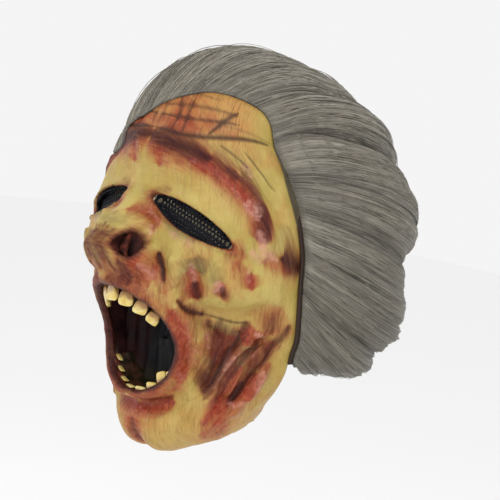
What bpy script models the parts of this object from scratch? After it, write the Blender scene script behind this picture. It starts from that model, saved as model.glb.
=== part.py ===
"""Old woman mask: a soft latex face with open jaws, sewn to a cloth cap that carries a grey wig.

Metres, +Z up. The face looks along -Y and +X is the wearer's left.
The origin is the inner top of the cap, where the wearer's crown bears.
"""

import math

import bmesh
import bpy
import numpy as np
from mathutils import Matrix, Vector

# Face sizes
FACE_HEIGHT = 0.260
FACE_HALF_WIDTH = 0.088
FACE_REACH = 0.105
HAIRLINE_DROP = 0.033
LATEX_WALL = 0.003

# Cap sizes: an oval dome round the wearer's head
CAP_HALF_WIDTH = 0.085
CAP_FRONT = 0.098
CAP_BACK = 0.112
CAP_RISE = 0.105
CAP_FALL = 0.160
CAP_WALL = 0.002
CAP_LAP = 0.010

# Wig sizes: the outer form of the hair about its own centre
HAIR_HALF_WIDTH = 0.118
HAIR_FRONT = 0.106
HAIR_BACK = 0.139
HAIR_RISE = 0.125
HAIR_FALL = 0.152
HAIR_SET_BACK = 0.012
HAIR_SET_DOWN = 0.118
HAIR_ROOT = 0.004
LOCK_DEPTH = 0.009
LOCKS = 12

# Eye screens, mouth pocket, gums and teeth
SCREEN_WALL = 0.0010
SCREEN_LAP = 0.004
POCKET_WALL = 0.0015
POCKET_LAP = 0.0125
POCKET_DROP = 0.003
POCKET_BACK = 0.046
GUM_DEPTH = 0.0065
GUM_HEIGHT = 0.008
UPPER_GUM_TUCK = 0.0025
LOWER_GUM_TUCK = 0.0045
UPPER_TOOTH = 0.0120
LOWER_TOOTH = 0.0080
TOOTH_THICKNESS = 0.0055
TOOTH_SHARE = 0.80

# Gaps: the seats lie between curved sheets that are glued together, GAP between small hard pieces
DEEP_SEAT = 0.0014
CAP_SEAT = 0.0018
GUM_SEAT = 0.0021
WIG_SEAT = 0.0020
GAP = 0.0003

# Mesh counts
FACE_COLUMNS = 34
FACE_ROWS = 32
CAP_COLUMNS = 44
CAP_ROWS = 7
CAP_CORNER = 8
SCREEN_HOLES_ALONG = 8
SCREEN_HOLES_UP = 3
POCKET_SIDES = 24
MOUTH_PLUG_SIDES = 28
SMALL_PLUG_SIDES = 16
UPPER_TEETH = 7
LOWER_TEETH = 8

# How far the face's columns crowd towards its middle, 1 for even spacing
COLUMN_POWER = 1.25

# Powers of the nose's section: how flat its ridge is and how soft its foot
NOSE_RIDGE, NOSE_FOOT = 2.2, 1.6

# Half sizes of the pierced field, as shares of the screen's own, and of a hole, as a share of its pitch
SCREEN_FIELD_ALONG, SCREEN_FIELD_UP, HOLE_SHARE = 0.86, 0.66, 0.55

# Stretch of the mouth's edge that each gum follows, in degrees from the wearer's left
UPPER_GUM_ARC = (30.0, 150.0)
LOWER_GUM_ARC = (-146.0, -34.0)

# Shares of a tooth's breadth and thickness at its tip and root, and of its bevel
TIP_BREADTH, ROOT_BREADTH, TIP_THICKNESS, TOOTH_BEVEL = 0.94, 0.82, 0.55, 0.16

# Length of half a face section, laid flat, as a share of the half width
HALF_ARC = 1.62

# Level on the face sheet where the cap and the hair end at the jaw
JAW_LEVEL = 0.32

# Shares of the way from the cap's front edge to the back seam: where the cap leaves the face, and how
# much further on it has come to its dome
LAP_SHARE = 0.12
DOME_SHARE = 0.30

# Share of that way where the hair starts beside the cheeks, and where along the edge the fringe gives way
HAIR_START = 0.04
FRINGE_END, FRINGE_FADE = 0.60, 0.15

# Angles over the horizontal of the two ends of the seam down the back of the head
SEAM_TOP_DEG = 25.0
SEAM_FOOT_DEG = -48.0

# Share of the way back over which the hair swells to its full form, and how far it dips at the seam
HAIR_SWELL = 0.28
SEAM_DIP = 0.40
SEAM_DIP_START = 0.75

# Share of its radius by which the hair tucks in at its lower hem, and where along the edge that starts
HEM_TUCK = 0.10
HEM_START = 0.86

# Powers of the hair's plan and of a lock's crest, and the height of a lock that leaves the plan as it is
HAIR_POWER = 2.5
CREST_POWER = 0.7
CREST_MEAN = 0.6

# Sections of the face from the neck up. level is the height on the sheet, 0 to 1. drop and edge_drop
# are shares of FACE_HEIGHT below the hairline, forward and edge_forward shares of FACE_REACH, and
# half_width a share of FACE_HALF_WIDTH. fullness is the power of the section's curve.
SECTIONS = (
    # name,        level,  drop, forward, half_width, edge_forward, edge_drop, fullness
    ("neck_edge",   0.00,  0.965, 0.13, 0.61, -0.11, 0.845, 2.00),
    ("chin_under",  0.08,  0.985, 0.36, 0.70, -0.06, 0.815, 2.00),
    ("chin",        0.15,  0.940, 0.56, 0.82, -0.02, 0.775, 1.85),
    ("lower_lip",   0.24,  0.850, 0.66, 0.91, -0.01, 0.720, 1.60),
    ("mouth",       0.36,  0.720, 0.83, 0.95,  0.00, 0.660, 1.32),
    ("upper_lip",   0.48,  0.592, 0.96, 0.98,  0.00, 0.600, 1.38),
    ("nose_base",   0.55,  0.512, 0.96, 1.00,  0.04, 0.538, 1.65),
    ("cheekbone",   0.64,  0.404, 0.92, 1.00,  0.07, 0.462, 2.50),
    ("nose_root",   0.73,  0.300, 0.89, 1.01,  0.11, 0.377, 2.80),
    ("eyelids",     0.80,  0.223, 0.86, 0.98,  0.17, 0.292, 1.95),
    ("brow",        0.87,  0.146, 0.84, 0.90,  0.27, 0.215, 1.60),
    ("forehead",    0.94,  0.058, 0.80, 0.82,  0.36, 0.148, 1.75),
    ("hairline",    1.00, -0.030, 0.70, 0.70,  0.46, 0.090, 1.90),
)

# The nose stands on the middle of the face. relief is a share of FACE_REACH, half_breadth of
# FACE_HALF_WIDTH.
NOSE = (
    # level, relief, half_breadth
    (0.800, 0.00, 0.20),
    (0.750, 0.04, 0.21),
    (0.700, 0.13, 0.25),
    (0.650, 0.25, 0.32),
    (0.605, 0.32, 0.38),
    (0.575, 0.27, 0.38),
    (0.550, 0.12, 0.36),
    (0.525, 0.00, 0.32),
)

# Openings cut through the latex. across is the share of the way from the middle to the edge, level the
# height on the sheet, half_breadth a share of FACE_HALF_WIDTH, half_height of FACE_HEIGHT.
OPENINGS = {
    # name:   (across, level, half_breadth, half_height, turn_deg, power)
    "eye":     (0.340, 0.722, 0.385, 0.040, -13.0, 2.3),
    "nostril": (0.128, 0.618, 0.082, 0.031, 14.0, 2.0),
    "mouth":   (0.000, 0.396, 0.535, 0.126, 0.0, 2.2),
}

# Rounded swellings and hollows. breadth is a share of FACE_HALF_WIDTH, height of FACE_HEIGHT, relief of
# FACE_REACH. A paired form stands on both sides.
FORMS = (
    # name,         across, level, breadth, height, turn_deg, relief, paired
    ("upper_lip",    0.00, 0.535, 0.42, 0.028,   0.0,  0.050, False),
    ("chin_lobe",    0.10, 0.120, 0.18, 0.060,   0.0,  0.095, True),
    ("cheek_pad",    0.66, 0.605, 0.36, 0.060,  -8.0,  0.075, True),
    ("lid_bulge",    0.34, 0.825, 0.50, 0.034, -12.0,  0.045, True),
    ("eye_pit",      0.34, 0.722, 0.52, 0.058, -13.0, -0.055, True),
    ("nose_valley",  0.26, 0.595, 0.10, 0.040,  10.0, -0.045, True),
    ("cheek_hollow", 0.43, 0.580, 0.14, 0.040,  20.0, -0.055, True),
    ("jaw_hollow",   0.58, 0.420, 0.16, 0.080,  38.0, -0.060, True),
    ("jaw_bulge",    0.78, 0.300, 0.30, 0.070,  30.0,  0.035, True),
    ("temple",       0.88, 0.840, 0.20, 0.060,   0.0, -0.030, True),
)

# Long folds, each a ridge or a crease along a bowed line. bow is a share of the line's own length,
# breadth a share of FACE_HALF_WIDTH and relief of FACE_REACH.
FOLDS = (
    # name,          across_a, level_a, across_b, level_b, bow, breadth, relief
    ("brow_ridge",    0.06, 0.880, 0.70, 0.815,  0.16, 0.110,  0.050),
    ("brow_end",      0.68, 0.830, 0.74, 0.730,  0.10, 0.090,  0.050),
    ("pad_crease",    0.40, 0.530, 0.76, 0.535, -0.14, 0.070, -0.055),
    ("jaw_fold_in",   0.82, 0.500, 0.46, 0.230,  0.06, 0.090,  0.045),
    ("jaw_crease",    0.84, 0.430, 0.58, 0.200,  0.05, 0.090, -0.045),
    ("jaw_fold_out",  0.86, 0.370, 0.70, 0.180,  0.04, 0.090,  0.035),
    ("smile_fold",    0.26, 0.560, 0.47, 0.380,  0.12, 0.080,  0.045),
    ("corner_fold",   0.47, 0.380, 0.40, 0.180,  0.06, 0.070, -0.045),
    ("chin_crease",   0.00, 0.230, 0.34, 0.235, -0.05, 0.070, -0.055),
)

# The raised rim round an opening: reach of the rim outside the edge and its relief, as shares of the
# opening's own radius and of FACE_REACH.
RIMS = {
    "eye": (0.16, 0.022),
    "mouth": (0.14, 0.060),
}

# Rings of the mouth pocket behind its front ring, back to its closed end
POCKET_RINGS = (
    # share of the way back, share of the front ring's size
    (0.50, 1.02),
    (0.86, 1.00),
    (1.00, 0.86),
    (1.04, 0.42),
)

PART_NAME = "old_woman_mask"
HEAD_CENTRE = np.array([0.0, 0.0, -CAP_RISE])
HAIR_CENTRE = np.array([0.0, HAIR_SET_BACK, -HAIR_SET_DOWN])


def table_at(table, position):
    """Smooth curve through the rows of a table whose first column is the position."""
    place = table[:, 0]
    slope = np.gradient(table, place, axis=0)
    position = np.asarray(position, float)
    row = np.clip(np.searchsorted(place, position, side="right") - 1, 0, len(place) - 2)
    step = place[row + 1] - place[row]
    t = np.clip((position - place[row]) / step, 0.0, 1.0)[..., None]
    step = step[..., None]
    start = (2 * t**3 - 3 * t**2 + 1) * table[row] + (t**3 - 2 * t**2 + t) * step * slope[row]
    end = (3 * t**2 - 2 * t**3) * table[row + 1] + (t**3 - t**2) * step * slope[row + 1]
    return start + end


def base_face(across, level):
    """Points of the face before its forms: a curved section at each level, blended from the table."""
    rows = table_at(np.array([row[1:] for row in SECTIONS]), level)
    _, drop, forward, half_width, edge_forward, edge_drop, fullness = np.moveaxis(rows, -1, 0)
    angle = np.abs(across) * math.pi / 2
    radius = (np.sin(angle) ** fullness + np.cos(angle) ** fullness) ** (-1 / fullness)
    fall = 1 - radius * np.cos(angle)
    x = np.sign(across) * half_width * FACE_HALF_WIDTH * radius * np.sin(angle)
    y = -(forward + (edge_forward - forward) * fall) * FACE_REACH
    z = -HAIRLINE_DROP - (drop + (edge_drop - drop) * fall) * FACE_HEIGHT
    return np.stack([x, y, z], -1)


def facing(surface, across, level, step=1e-3):
    """Unit vectors out of a surface, from its slopes."""
    lo_a, hi_a = np.clip(across - step, -1, 1), np.clip(across + step, -1, 1)
    lo_l, hi_l = np.clip(level - step, 0, 1), np.clip(level + step, 0, 1)
    out = np.cross(
        surface(hi_a, level) - surface(lo_a, level), surface(across, hi_l) - surface(across, lo_l)
    )
    return out / np.linalg.norm(out, axis=-1, keepdims=True)


def laid_flat(across, level):
    """Metres across and up the sheet, as if it were laid flat."""
    return across * HALF_ARC * FACE_HALF_WIDTH, level * FACE_HEIGHT


def on_sheet(flat_x, flat_y):
    """Across and level of a point given in metres on the flat sheet."""
    return flat_x / (HALF_ARC * FACE_HALF_WIDTH), flat_y / FACE_HEIGHT


def ramp(value):
    """Smooth step from 0 to 1."""
    value = np.clip(value, 0.0, 1.0)
    return value * value * (3 - 2 * value)


def opening_radius(name, across, level):
    """Distance from the middle of an opening, 1 on its edge."""
    centre_across, centre_level, half_breadth, half_height, turn, power = OPENINGS[name]
    x, y = laid_flat(np.abs(across) - centre_across, level - centre_level)
    cos, sin = math.cos(math.radians(turn)), math.sin(math.radians(turn))
    along, up = x * cos + y * sin, y * cos - x * sin
    return (
        np.abs(along / (half_breadth * FACE_HALF_WIDTH)) ** power
        + np.abs(up / (half_height * FACE_HEIGHT)) ** power
    ) ** (1 / power)


def opening_edge(name, side, count, grow=0.0, start=0.0, end=360.0):
    """Across and level of points round the edge of an opening, moved outwards by grow metres."""
    centre_across, centre_level, half_breadth, half_height, turn, power = OPENINGS[name]
    closed = end - start >= 360.0
    angle = np.radians(np.linspace(start, end, count, endpoint=not closed))
    cos, sin = np.cos(angle), np.sin(angle)
    along = np.sign(cos) * np.abs(cos) ** (2 / power) * (half_breadth * FACE_HALF_WIDTH + grow)
    up = np.sign(sin) * np.abs(sin) ** (2 / power) * (half_height * FACE_HEIGHT + grow)
    turn = math.radians(turn)
    x = along * math.cos(turn) - up * math.sin(turn)
    y = along * math.sin(turn) + up * math.cos(turn)
    across, level = on_sheet(x, y)
    return side * (centre_across + across), centre_level + level


def nose_relief(across, level):
    """Height of the nose above the base face."""
    table = np.array(NOSE[::-1])
    _, relief, half_breadth = np.moveaxis(table_at(table, np.clip(level, table[0, 0], table[-1, 0])), -1, 0)
    flat_x, _ = laid_flat(across, level)
    share = np.clip(np.abs(flat_x) / (half_breadth * FACE_HALF_WIDTH), 0.0, 1.0)
    return relief * FACE_REACH * (1 - share**NOSE_RIDGE) ** NOSE_FOOT


def form_relief(across, level, form):
    """Height of one rounded swelling or hollow."""
    _, centre_across, centre_level, breadth, height, turn, relief, paired = form
    x, y = laid_flat((np.abs(across) if paired else across) - centre_across, level - centre_level)
    cos, sin = math.cos(math.radians(turn)), math.sin(math.radians(turn))
    along = (x * cos + y * sin) / (breadth * FACE_HALF_WIDTH)
    up = (y * cos - x * sin) / (height * FACE_HEIGHT)
    return relief * FACE_REACH * np.exp(-(along**2) - up**2)


def fold_relief(across, level, fold):
    """Height of one bowed fold, on both sides of the face."""
    _, across_a, level_a, across_b, level_b, bow, breadth, relief = fold
    ax, ay = laid_flat(across_a, level_a)
    bx, by = laid_flat(across_b, level_b)
    length = math.hypot(bx - ax, by - ay)
    ux, uy = (bx - ax) / length, (by - ay) / length
    x, y = laid_flat(np.abs(across), level)
    along = ((x - ax) * ux + (y - ay) * uy) / length
    off = (x - ax) * -uy + (y - ay) * ux - bow * length * 4 * along * (1 - along)
    past = np.maximum(np.abs(along - 0.5) - 0.5, 0.0) * length
    distance = np.hypot(off, past) / (breadth * FACE_HALF_WIDTH)
    return relief * FACE_REACH * np.exp(-(distance**2))


def rim_relief(name, across, level):
    """Height of the raised rim round an opening."""
    reach, relief = RIMS[name]
    outside = opening_radius(name, across, level) - 1.0
    return relief * FACE_REACH * np.exp(-(((outside - reach) / reach) ** 2))


def plain_edge(across, level):
    """1 on the face, fading to 0 on the smooth band that the cap laps over."""
    band_across, band_level = on_sheet(CAP_LAP, CAP_LAP)
    side = ramp((1 - np.abs(across)) / band_across - 1)
    top = ramp((1 - level) / band_level - 1)
    return side * top


def face_surface(across, level):
    """Outer surface of the latex face."""
    relief = nose_relief(across, level)
    for form in FORMS:
        relief = relief + form_relief(across, level, form)
    for fold in FOLDS:
        relief = relief + fold_relief(across, level, fold)
    for name in RIMS:
        relief = relief + rim_relief(name, across, level)
    relief = relief * plain_edge(across, level)
    return base_face(across, level) + facing(base_face, across, level) * relief[..., None]


def face_edge(along):
    """Across and level of the face sheet's edge under the cap, from jaw to jaw over the brow."""
    corner = CAP_CORNER / (CAP_COLUMNS / 2)
    reach = np.abs(along)
    across = np.sign(along) * np.clip(reach / corner, 0.0, 1.0)
    down = np.clip((reach - corner) / (1 - corner), 0.0, 1.0)
    return across, 1.0 + (JAW_LEVEL - 1.0) * down


def hairline(along):
    """Across and level of the cap's front edge, CAP_LAP inside the face's own edge."""
    across, level = face_edge(along)
    inset_across, inset_level = on_sheet(CAP_LAP, CAP_LAP)
    narrow = 1 - inset_level / (1 - JAW_LEVEL)
    return across * (1 - inset_across), JAW_LEVEL + (level - JAW_LEVEL) * narrow


def oval(direction, half_width, front, back, rise, fall, power):
    """Distance from the centre of an egg shape to its surface, along unit directions."""
    x, y, z = np.moveaxis(direction, -1, 0)
    depth = np.where(y < 0, front, back)
    height = np.where(z > 0, rise, fall)
    round_about = (np.abs(x / half_width) ** power + np.abs(y / depth) ** power) ** (2 / power)
    return 1 / np.sqrt(round_about + (z / height) ** 2)


def turned(start, end, share):
    """Unit directions on the way from start to end."""
    angle = np.arccos(np.clip((start * end).sum(-1, keepdims=True), -1, 1))
    share = share[..., None]
    return (np.sin((1 - share) * angle) * start + np.sin(share * angle) * end) / np.sin(angle)


class Sheet:
    """A grid of points with their outward directions, read at any place and depth between them."""

    def __init__(self, obj, index, across, level):
        mesh = obj.data
        points = np.empty((len(mesh.vertices), 3), np.float32)
        mesh.vertices.foreach_get("co", points.ravel())
        outward = np.empty((len(mesh.vertices), 3), np.float32)
        mesh.vertex_normals.foreach_get("vector", outward.ravel())
        self.points = points[index].astype(float)
        self.outward = outward[index].astype(float)
        self.across, self.level = across, level

    def at(self, across, level, height):
        """Points at a height above the sheet, negative inside it."""
        column = np.interp(across, self.across, np.arange(len(self.across)))
        row = np.interp(level, self.level, np.arange(len(self.level)))
        i = np.clip(row.astype(int), 0, len(self.level) - 2)
        j = np.clip(column.astype(int), 0, len(self.across) - 2)
        s, t = (row - i)[..., None], (column - j)[..., None]
        raised = self.points + self.outward * height
        low = raised[i, j] * (1 - t) + raised[i, j + 1] * t
        high = raised[i + 1, j] * (1 - t) + raised[i + 1, j + 1] * t
        return low * (1 - s) + high * s


def material(name, colour, roughness, metallic=0.0):
    """A Principled BSDF material of one colour."""
    made = bpy.data.materials.new(name)
    made.use_nodes = True
    shader = made.node_tree.nodes["Principled BSDF"]
    shader.inputs["Base Color"].default_value = (*colour, 1.0)
    shader.inputs["Roughness"].default_value = roughness
    shader.inputs["Metallic"].default_value = metallic
    return made


def new_object(name, points, faces, collection, look=None):
    """A mesh object from points and faces, its faces turned outwards."""
    mesh = bpy.data.meshes.new(name)
    mesh.from_pydata([tuple(map(float, point)) for point in points], [], faces)
    mesh.validate()
    obj = bpy.data.objects.new(name, mesh)
    collection.objects.link(obj)
    if look:
        mesh.materials.append(look)
    mesh.shade_smooth()
    return obj


def grid_index(rows, columns):
    """Numbers of a grid's points, row by row."""
    return np.arange((rows + 1) * (columns + 1)).reshape(rows + 1, columns + 1)


def seamed_index(rows, columns):
    """Numbers of a grid whose last row is folded on itself, so that its two halves meet in a seam."""
    index = grid_index(rows, columns)
    middle = columns // 2
    index[-1, middle + 1 :] = index[-1, middle - 1 :: -1]
    return index


def grid_faces(index):
    """Quads of a grid of point numbers."""
    corners = (index[:-1, :-1], index[:-1, 1:], index[1:, 1:], index[1:, :-1])
    return [tuple(map(int, quad)) for quad in np.stack(corners, -1).reshape(-1, 4)]


def ring_faces(rings, count):
    """Quads between closed rings of points."""
    faces = []
    for first in range(0, (rings - 1) * count, count):
        for i in range(count):
            j = (i + 1) % count
            faces.append((first + i, first + j, first + count + j, first + count + i))
    return faces


def face_outwards(obj):
    """Turns every face of a closed mesh outwards."""
    cage = bmesh.new()
    cage.from_mesh(obj.data)
    bmesh.ops.recalc_face_normals(cage, faces=cage.faces)
    cage.to_mesh(obj.data)
    cage.free()


def add_wall(obj, thickness, inwards):
    """Gives an open surface its wall."""
    wall = obj.modifiers.new("wall", "SOLIDIFY")
    wall.thickness = thickness
    wall.offset = -1.0 if inwards else 1.0


def cut(obj, cutter):
    """Cuts one object with another."""
    hole = obj.modifiers.new("cut_" + cutter.name, "BOOLEAN")
    hole.operation = "DIFFERENCE"
    hole.solver = "EXACT"
    hole.object = cutter


def make_face(parts, look):
    """The latex sheet, still without its wall and its openings, and the grid that other pieces seat on."""
    step = np.linspace(-1, 1, FACE_COLUMNS + 1)
    across = np.sign(step) * np.abs(step) ** COLUMN_POWER
    level = np.linspace(0, 1, FACE_ROWS + 1)
    grid_across, grid_level = np.meshgrid(across, level)
    points = face_surface(grid_across, grid_level).reshape(-1, 3)
    index = grid_index(FACE_ROWS, FACE_COLUMNS)
    face = new_object("face", points, grid_faces(index), parts, look)
    return face, Sheet(face, index, across, level)


def make_cutter(name, opening, side, direction, cutters):
    """A plug with the outline of an opening, well through the latex: it reaches a third of the face's depth."""
    count = MOUTH_PLUG_SIDES if opening == "mouth" else SMALL_PLUG_SIDES
    across, level = opening_edge(opening, side, count)
    middle = face_surface(across, level)
    reach = np.asarray(direction, float) / np.linalg.norm(direction) * FACE_REACH / 3
    points = np.concatenate([middle + reach, middle - reach])
    faces = ring_faces(2, count) + [tuple(range(count)), tuple(range(2 * count - 1, count - 1, -1))]
    cutter = new_object(name, points, faces, cutters)
    face_outwards(cutter)
    cutter.hide_render = True
    cutter.display_type = "WIRE"
    return cutter


def open_face(face, cutters):
    """Cuts the mouth, the eye slots and the nostrils."""
    cut(face, make_cutter("mouth_plug", "mouth", 1, (0, -1, -0.15), cutters))
    for side, label in ((1, "left"), (-1, "right")):
        cut(face, make_cutter(f"eye_plug_{label}", "eye", side, (0.25 * side, -1, 0), cutters))
        cut(face, make_cutter(f"nostril_plug_{label}", "nostril", side, (0.45 * side, -1, 0), cutters))


def seam_direction(along):
    """Unit directions from the head's middle to the seam that runs down the back of the head."""
    angle = np.radians(SEAM_TOP_DEG + (SEAM_FOOT_DEG - SEAM_TOP_DEG) * np.abs(along))
    return np.stack([np.zeros_like(angle), np.cos(angle), np.sin(angle)], -1)


def cap_surface(skin, along, back):
    """Inner surface of the cap: over the face's edge first, then round the head to the back seam."""
    lap_across, lap_level = hairline(along)
    edge_across, edge_level = face_edge(along)
    on_face = skin.at(lap_across, lap_level, CAP_SEAT)
    at_edge = skin.at(edge_across, edge_level, CAP_SEAT)
    way = at_edge - HEAD_CENTRE
    start = np.linalg.norm(way, axis=-1)
    share = np.clip((back - LAP_SHARE) / (1 - LAP_SHARE), 0.0, 1.0)
    direction = turned(way / start[..., None], seam_direction(along), share)
    dome = oval(direction, CAP_HALF_WIDTH, CAP_FRONT, CAP_BACK, CAP_RISE, CAP_FALL, 2.0)
    radius = start + (dome - start) * ramp(share / DOME_SHARE)
    domed = HEAD_CENTRE + direction * radius[..., None]
    lapped = on_face + (at_edge - on_face) * np.clip(back / LAP_SHARE, 0.0, 1.0)[..., None]
    return np.where((back < LAP_SHARE)[..., None], lapped, domed)


def make_cap(skin, parts, look):
    """The cloth cap: columns from the hairline round the head, joined in a seam at the back."""
    along = np.linspace(-1, 1, CAP_COLUMNS + 1)
    back = np.concatenate([[0.0], np.linspace(LAP_SHARE, 1.0, CAP_ROWS)])
    grid_along, grid_back = np.meshgrid(along, back)
    points = cap_surface(skin, grid_along, grid_back).reshape(-1, 3)
    index = seamed_index(CAP_ROWS, CAP_COLUMNS)
    points = points[: index.max() + 1]
    cap = new_object("wig_cap", points, grid_faces(index), parts, look)
    return cap, Sheet(cap, index, along, back)


def hair_surface(along, back, cap_point):
    """Outer form of the hair: locks that rise from the hairline and meet at the back seam."""
    way = cap_point - HAIR_CENTRE
    near = np.linalg.norm(way, axis=-1)
    direction = way / near[..., None]
    far = oval(direction, HAIR_HALF_WIDTH, HAIR_FRONT, HAIR_BACK, HAIR_RISE, HAIR_FALL, HAIR_POWER)
    crest = np.abs(np.cos(along * math.pi * LOCKS / 2)) ** CREST_POWER
    dip = SEAM_DIP * ramp((back - SEAM_DIP_START) / (1 - SEAM_DIP_START))
    fullness = ramp(back / HAIR_SWELL) * (1 - dip)
    rim = ramp((np.abs(along) - HEM_START) / (1 - HEM_START))
    far = far * (1 - HEM_TUCK * rim) + LOCK_DEPTH * (crest - CREST_MEAN) * (1 - rim)
    root = near + HAIR_ROOT
    radius = root + np.maximum(far - root, 0.0) * fullness
    return HAIR_CENTRE + direction * radius[..., None]


def make_hair(dome, parts, look):
    """The wig as one hollow body, its inner side on the cap."""
    along, cap_back = dome.across, dome.level
    middles = (cap_back[1:-1] + cap_back[2:]) / 2
    back = np.sort(np.concatenate([[0.0], cap_back[1:], middles]))
    grid_along, grid_back = np.meshgrid(along, back)
    # The cap's edge shows as a strip beside the cheeks, while the fringe lies on it over the brow
    grid_back[0] = HAIR_START * ramp((np.abs(along) - FRINGE_END) / FRINGE_FADE)
    inner = dome.at(grid_along, grid_back, CAP_WALL + WIG_SEAT)
    outer = hair_surface(grid_along, grid_back, inner)
    index = seamed_index(len(back) - 1, len(along) - 1)
    count = int(index.max()) + 1
    points = np.concatenate([outer.reshape(-1, 3)[:count], inner.reshape(-1, 3)[:count]])
    faces = grid_faces(index)
    faces += [tuple(reversed(face)) for face in grid_faces(index + count)]
    # The open edge runs up one side of the grid, along its first row and down the other side
    border = [*index[::-1, 0], *index[0, 1:], *index[1:-1, -1]]
    for i, first in enumerate(border):
        second = border[(i + 1) % len(border)]
        faces.append(tuple(int(point) for point in (second, first, first + count, second + count)))
    hair = new_object("hair", points, faces, parts, look)
    face_outwards(hair)
    return hair


def make_screen(name, side, skin, parts, look):
    """A pierced screen behind one eye slot."""
    columns, rows = SCREEN_HOLES_ALONG + 2, SCREEN_HOLES_UP + 2
    centre_across, centre_level, half_breadth, half_height, turn, _ = OPENINGS["eye"]
    turn = math.radians(turn)
    half_along = half_breadth * FACE_HALF_WIDTH + SCREEN_LAP
    half_up = half_height * FACE_HEIGHT + SCREEN_LAP

    def place(along, up):
        x, y = along * half_along, up * half_up
        across, level = on_sheet(
            x * math.cos(turn) - y * math.sin(turn), x * math.sin(turn) + y * math.cos(turn)
        )
        return side * (centre_across + across), centre_level + level

    field = np.linspace(-1.0, 1.0, columns - 1) * SCREEN_FIELD_ALONG
    along = np.concatenate([[-1.0], field, [1.0]])
    field = np.linspace(-1.0, 1.0, rows - 1) * SCREEN_FIELD_UP
    up = np.concatenate([[-1.0], field, [1.0]])
    spots = [(a, b) for b in up for a in along]
    faces = []
    width = columns + 1
    for row in range(rows):
        for column in range(columns):
            first = row * width + column
            corners = (first, first + 1, first + 1 + width, first + width)
            if row in (0, rows - 1) or column in (0, columns - 1):
                faces.append(corners)
                continue
            middle = np.mean([spots[corner] for corner in corners], axis=0)
            inner = []
            for corner in corners:
                inner.append(len(spots))
                spots.append(tuple(middle + (np.array(spots[corner]) - middle) * HOLE_SHARE))
            for i in range(4):
                j = (i + 1) % 4
                faces.append((corners[i], corners[j], inner[j], inner[i]))
    spots = np.array(spots)
    across, level = place(spots[:, 0], spots[:, 1])
    points = skin.at(across, level, -LATEX_WALL - DEEP_SEAT)
    if side < 0:
        faces = [tuple(reversed(face)) for face in faces]
    screen = new_object(name, points, faces, parts, look)
    add_wall(screen, SCREEN_WALL, inwards=True)
    return screen


def make_pocket(skin, parts, look):
    """The dark cloth pocket behind the lips, closed at the back."""
    count = POCKET_SIDES
    across, level = opening_edge("mouth", 1, count, POCKET_LAP)
    front = skin.at(across, level - POCKET_DROP / FACE_HEIGHT, -LATEX_WALL - DEEP_SEAT)
    centre = front.mean(axis=0)
    rings = [front]
    for share, narrow in POCKET_RINGS:
        ring = centre + (front - centre) * [narrow, 1.0, narrow]
        ring[:, 1] = front[:, 1] + (-POCKET_BACK - front[:, 1]) * share
        rings.append(ring)
    points = np.concatenate(rings + [rings[-1].mean(axis=0)[None]])
    faces = ring_faces(len(rings), count)
    last = (len(rings) - 1) * count
    for i in range(count):
        faces.append((last + i, last + (i + 1) % count, len(points) - 1))
    pocket = new_object("mouth_lining", points, faces, parts, look)
    add_wall(pocket, POCKET_WALL, inwards=False)
    return pocket


def gum_line(skin, upper, grow):
    """Points behind the lip, grow metres outside the gum's own line: two for each tooth and one more."""
    start, end = UPPER_GUM_ARC if upper else LOWER_GUM_ARC
    grow = grow + (UPPER_GUM_TUCK if upper else LOWER_GUM_TUCK)
    count = 2 * (UPPER_TEETH if upper else LOWER_TEETH) + 1
    across, level = opening_edge("mouth", 1, count, grow, start, end)
    return skin.at(across, level, -LATEX_WALL - GUM_SEAT)


def make_gum(name, upper, skin, parts, look):
    """A bar along the upper or the lower lip that carries the teeth."""
    root_side = gum_line(skin, upper, GUM_HEIGHT / 2)
    tooth_side = gum_line(skin, upper, -GUM_HEIGHT / 2)
    depth = np.array([0.0, GUM_DEPTH, 0.0])
    points = []
    for root, tip in zip(root_side, tooth_side):
        points += [root, tip, tip + depth, root + depth]
    last = len(points) - 4
    faces = [(0, 1, 2, 3), (last + 3, last + 2, last + 1, last)]
    for first in range(0, last, 4):
        for i in range(4):
            j = (i + 1) % 4
            faces.append((first + i, first + j, first + 4 + j, first + 4 + i))
    gum = new_object(name, points, faces, parts, look)
    face_outwards(gum)
    return gum


def make_tooth(name, root, up, front, length, breadth, parts, look):
    """One tooth: a tapered block that stands up from its root and faces front."""
    cage = bmesh.new()
    bmesh.ops.create_cube(cage, size=1.0)
    for corner in cage.verts:
        tip = corner.co.z > 0
        corner.co.x *= breadth * (TIP_BREADTH if tip else ROOT_BREADTH)
        corner.co.y *= TOOTH_THICKNESS * (TIP_THICKNESS if tip else 1.0)
        corner.co.z = (corner.co.z + 0.5) * length
    bmesh.ops.bevel(
        cage, geom=cage.edges[:], offset=TOOTH_THICKNESS * TOOTH_BEVEL, segments=1, affect="EDGES"
    )
    mesh = bpy.data.meshes.new(name)
    cage.to_mesh(mesh)
    cage.free()
    mesh.materials.append(look)
    mesh.shade_smooth()
    tooth = bpy.data.objects.new(name, mesh)
    side = front.cross(up)
    turn = Matrix((side, up.cross(side), up)).transposed().to_4x4()
    tooth.matrix_world = Matrix.Translation(root) @ turn
    parts.objects.link(tooth)
    return tooth


def gum_rise(ends, up, side, front, breadth):
    """Height of the gum's line under a tooth's root, over the middle of the stretch between its ends."""
    rise = 0.0
    for across in (-breadth / 2, breadth / 2):
        for deep in (-TOOTH_THICKNESS / 2, TOOTH_THICKNESS / 2):
            corner = side * across + front * deep
            for end in ends:
                share = (corner.x * end.x + corner.z * end.z) / (end.x**2 + end.z**2)
                rise = max(rise, max(share, 0.0) * end.dot(up))
    return rise


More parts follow.
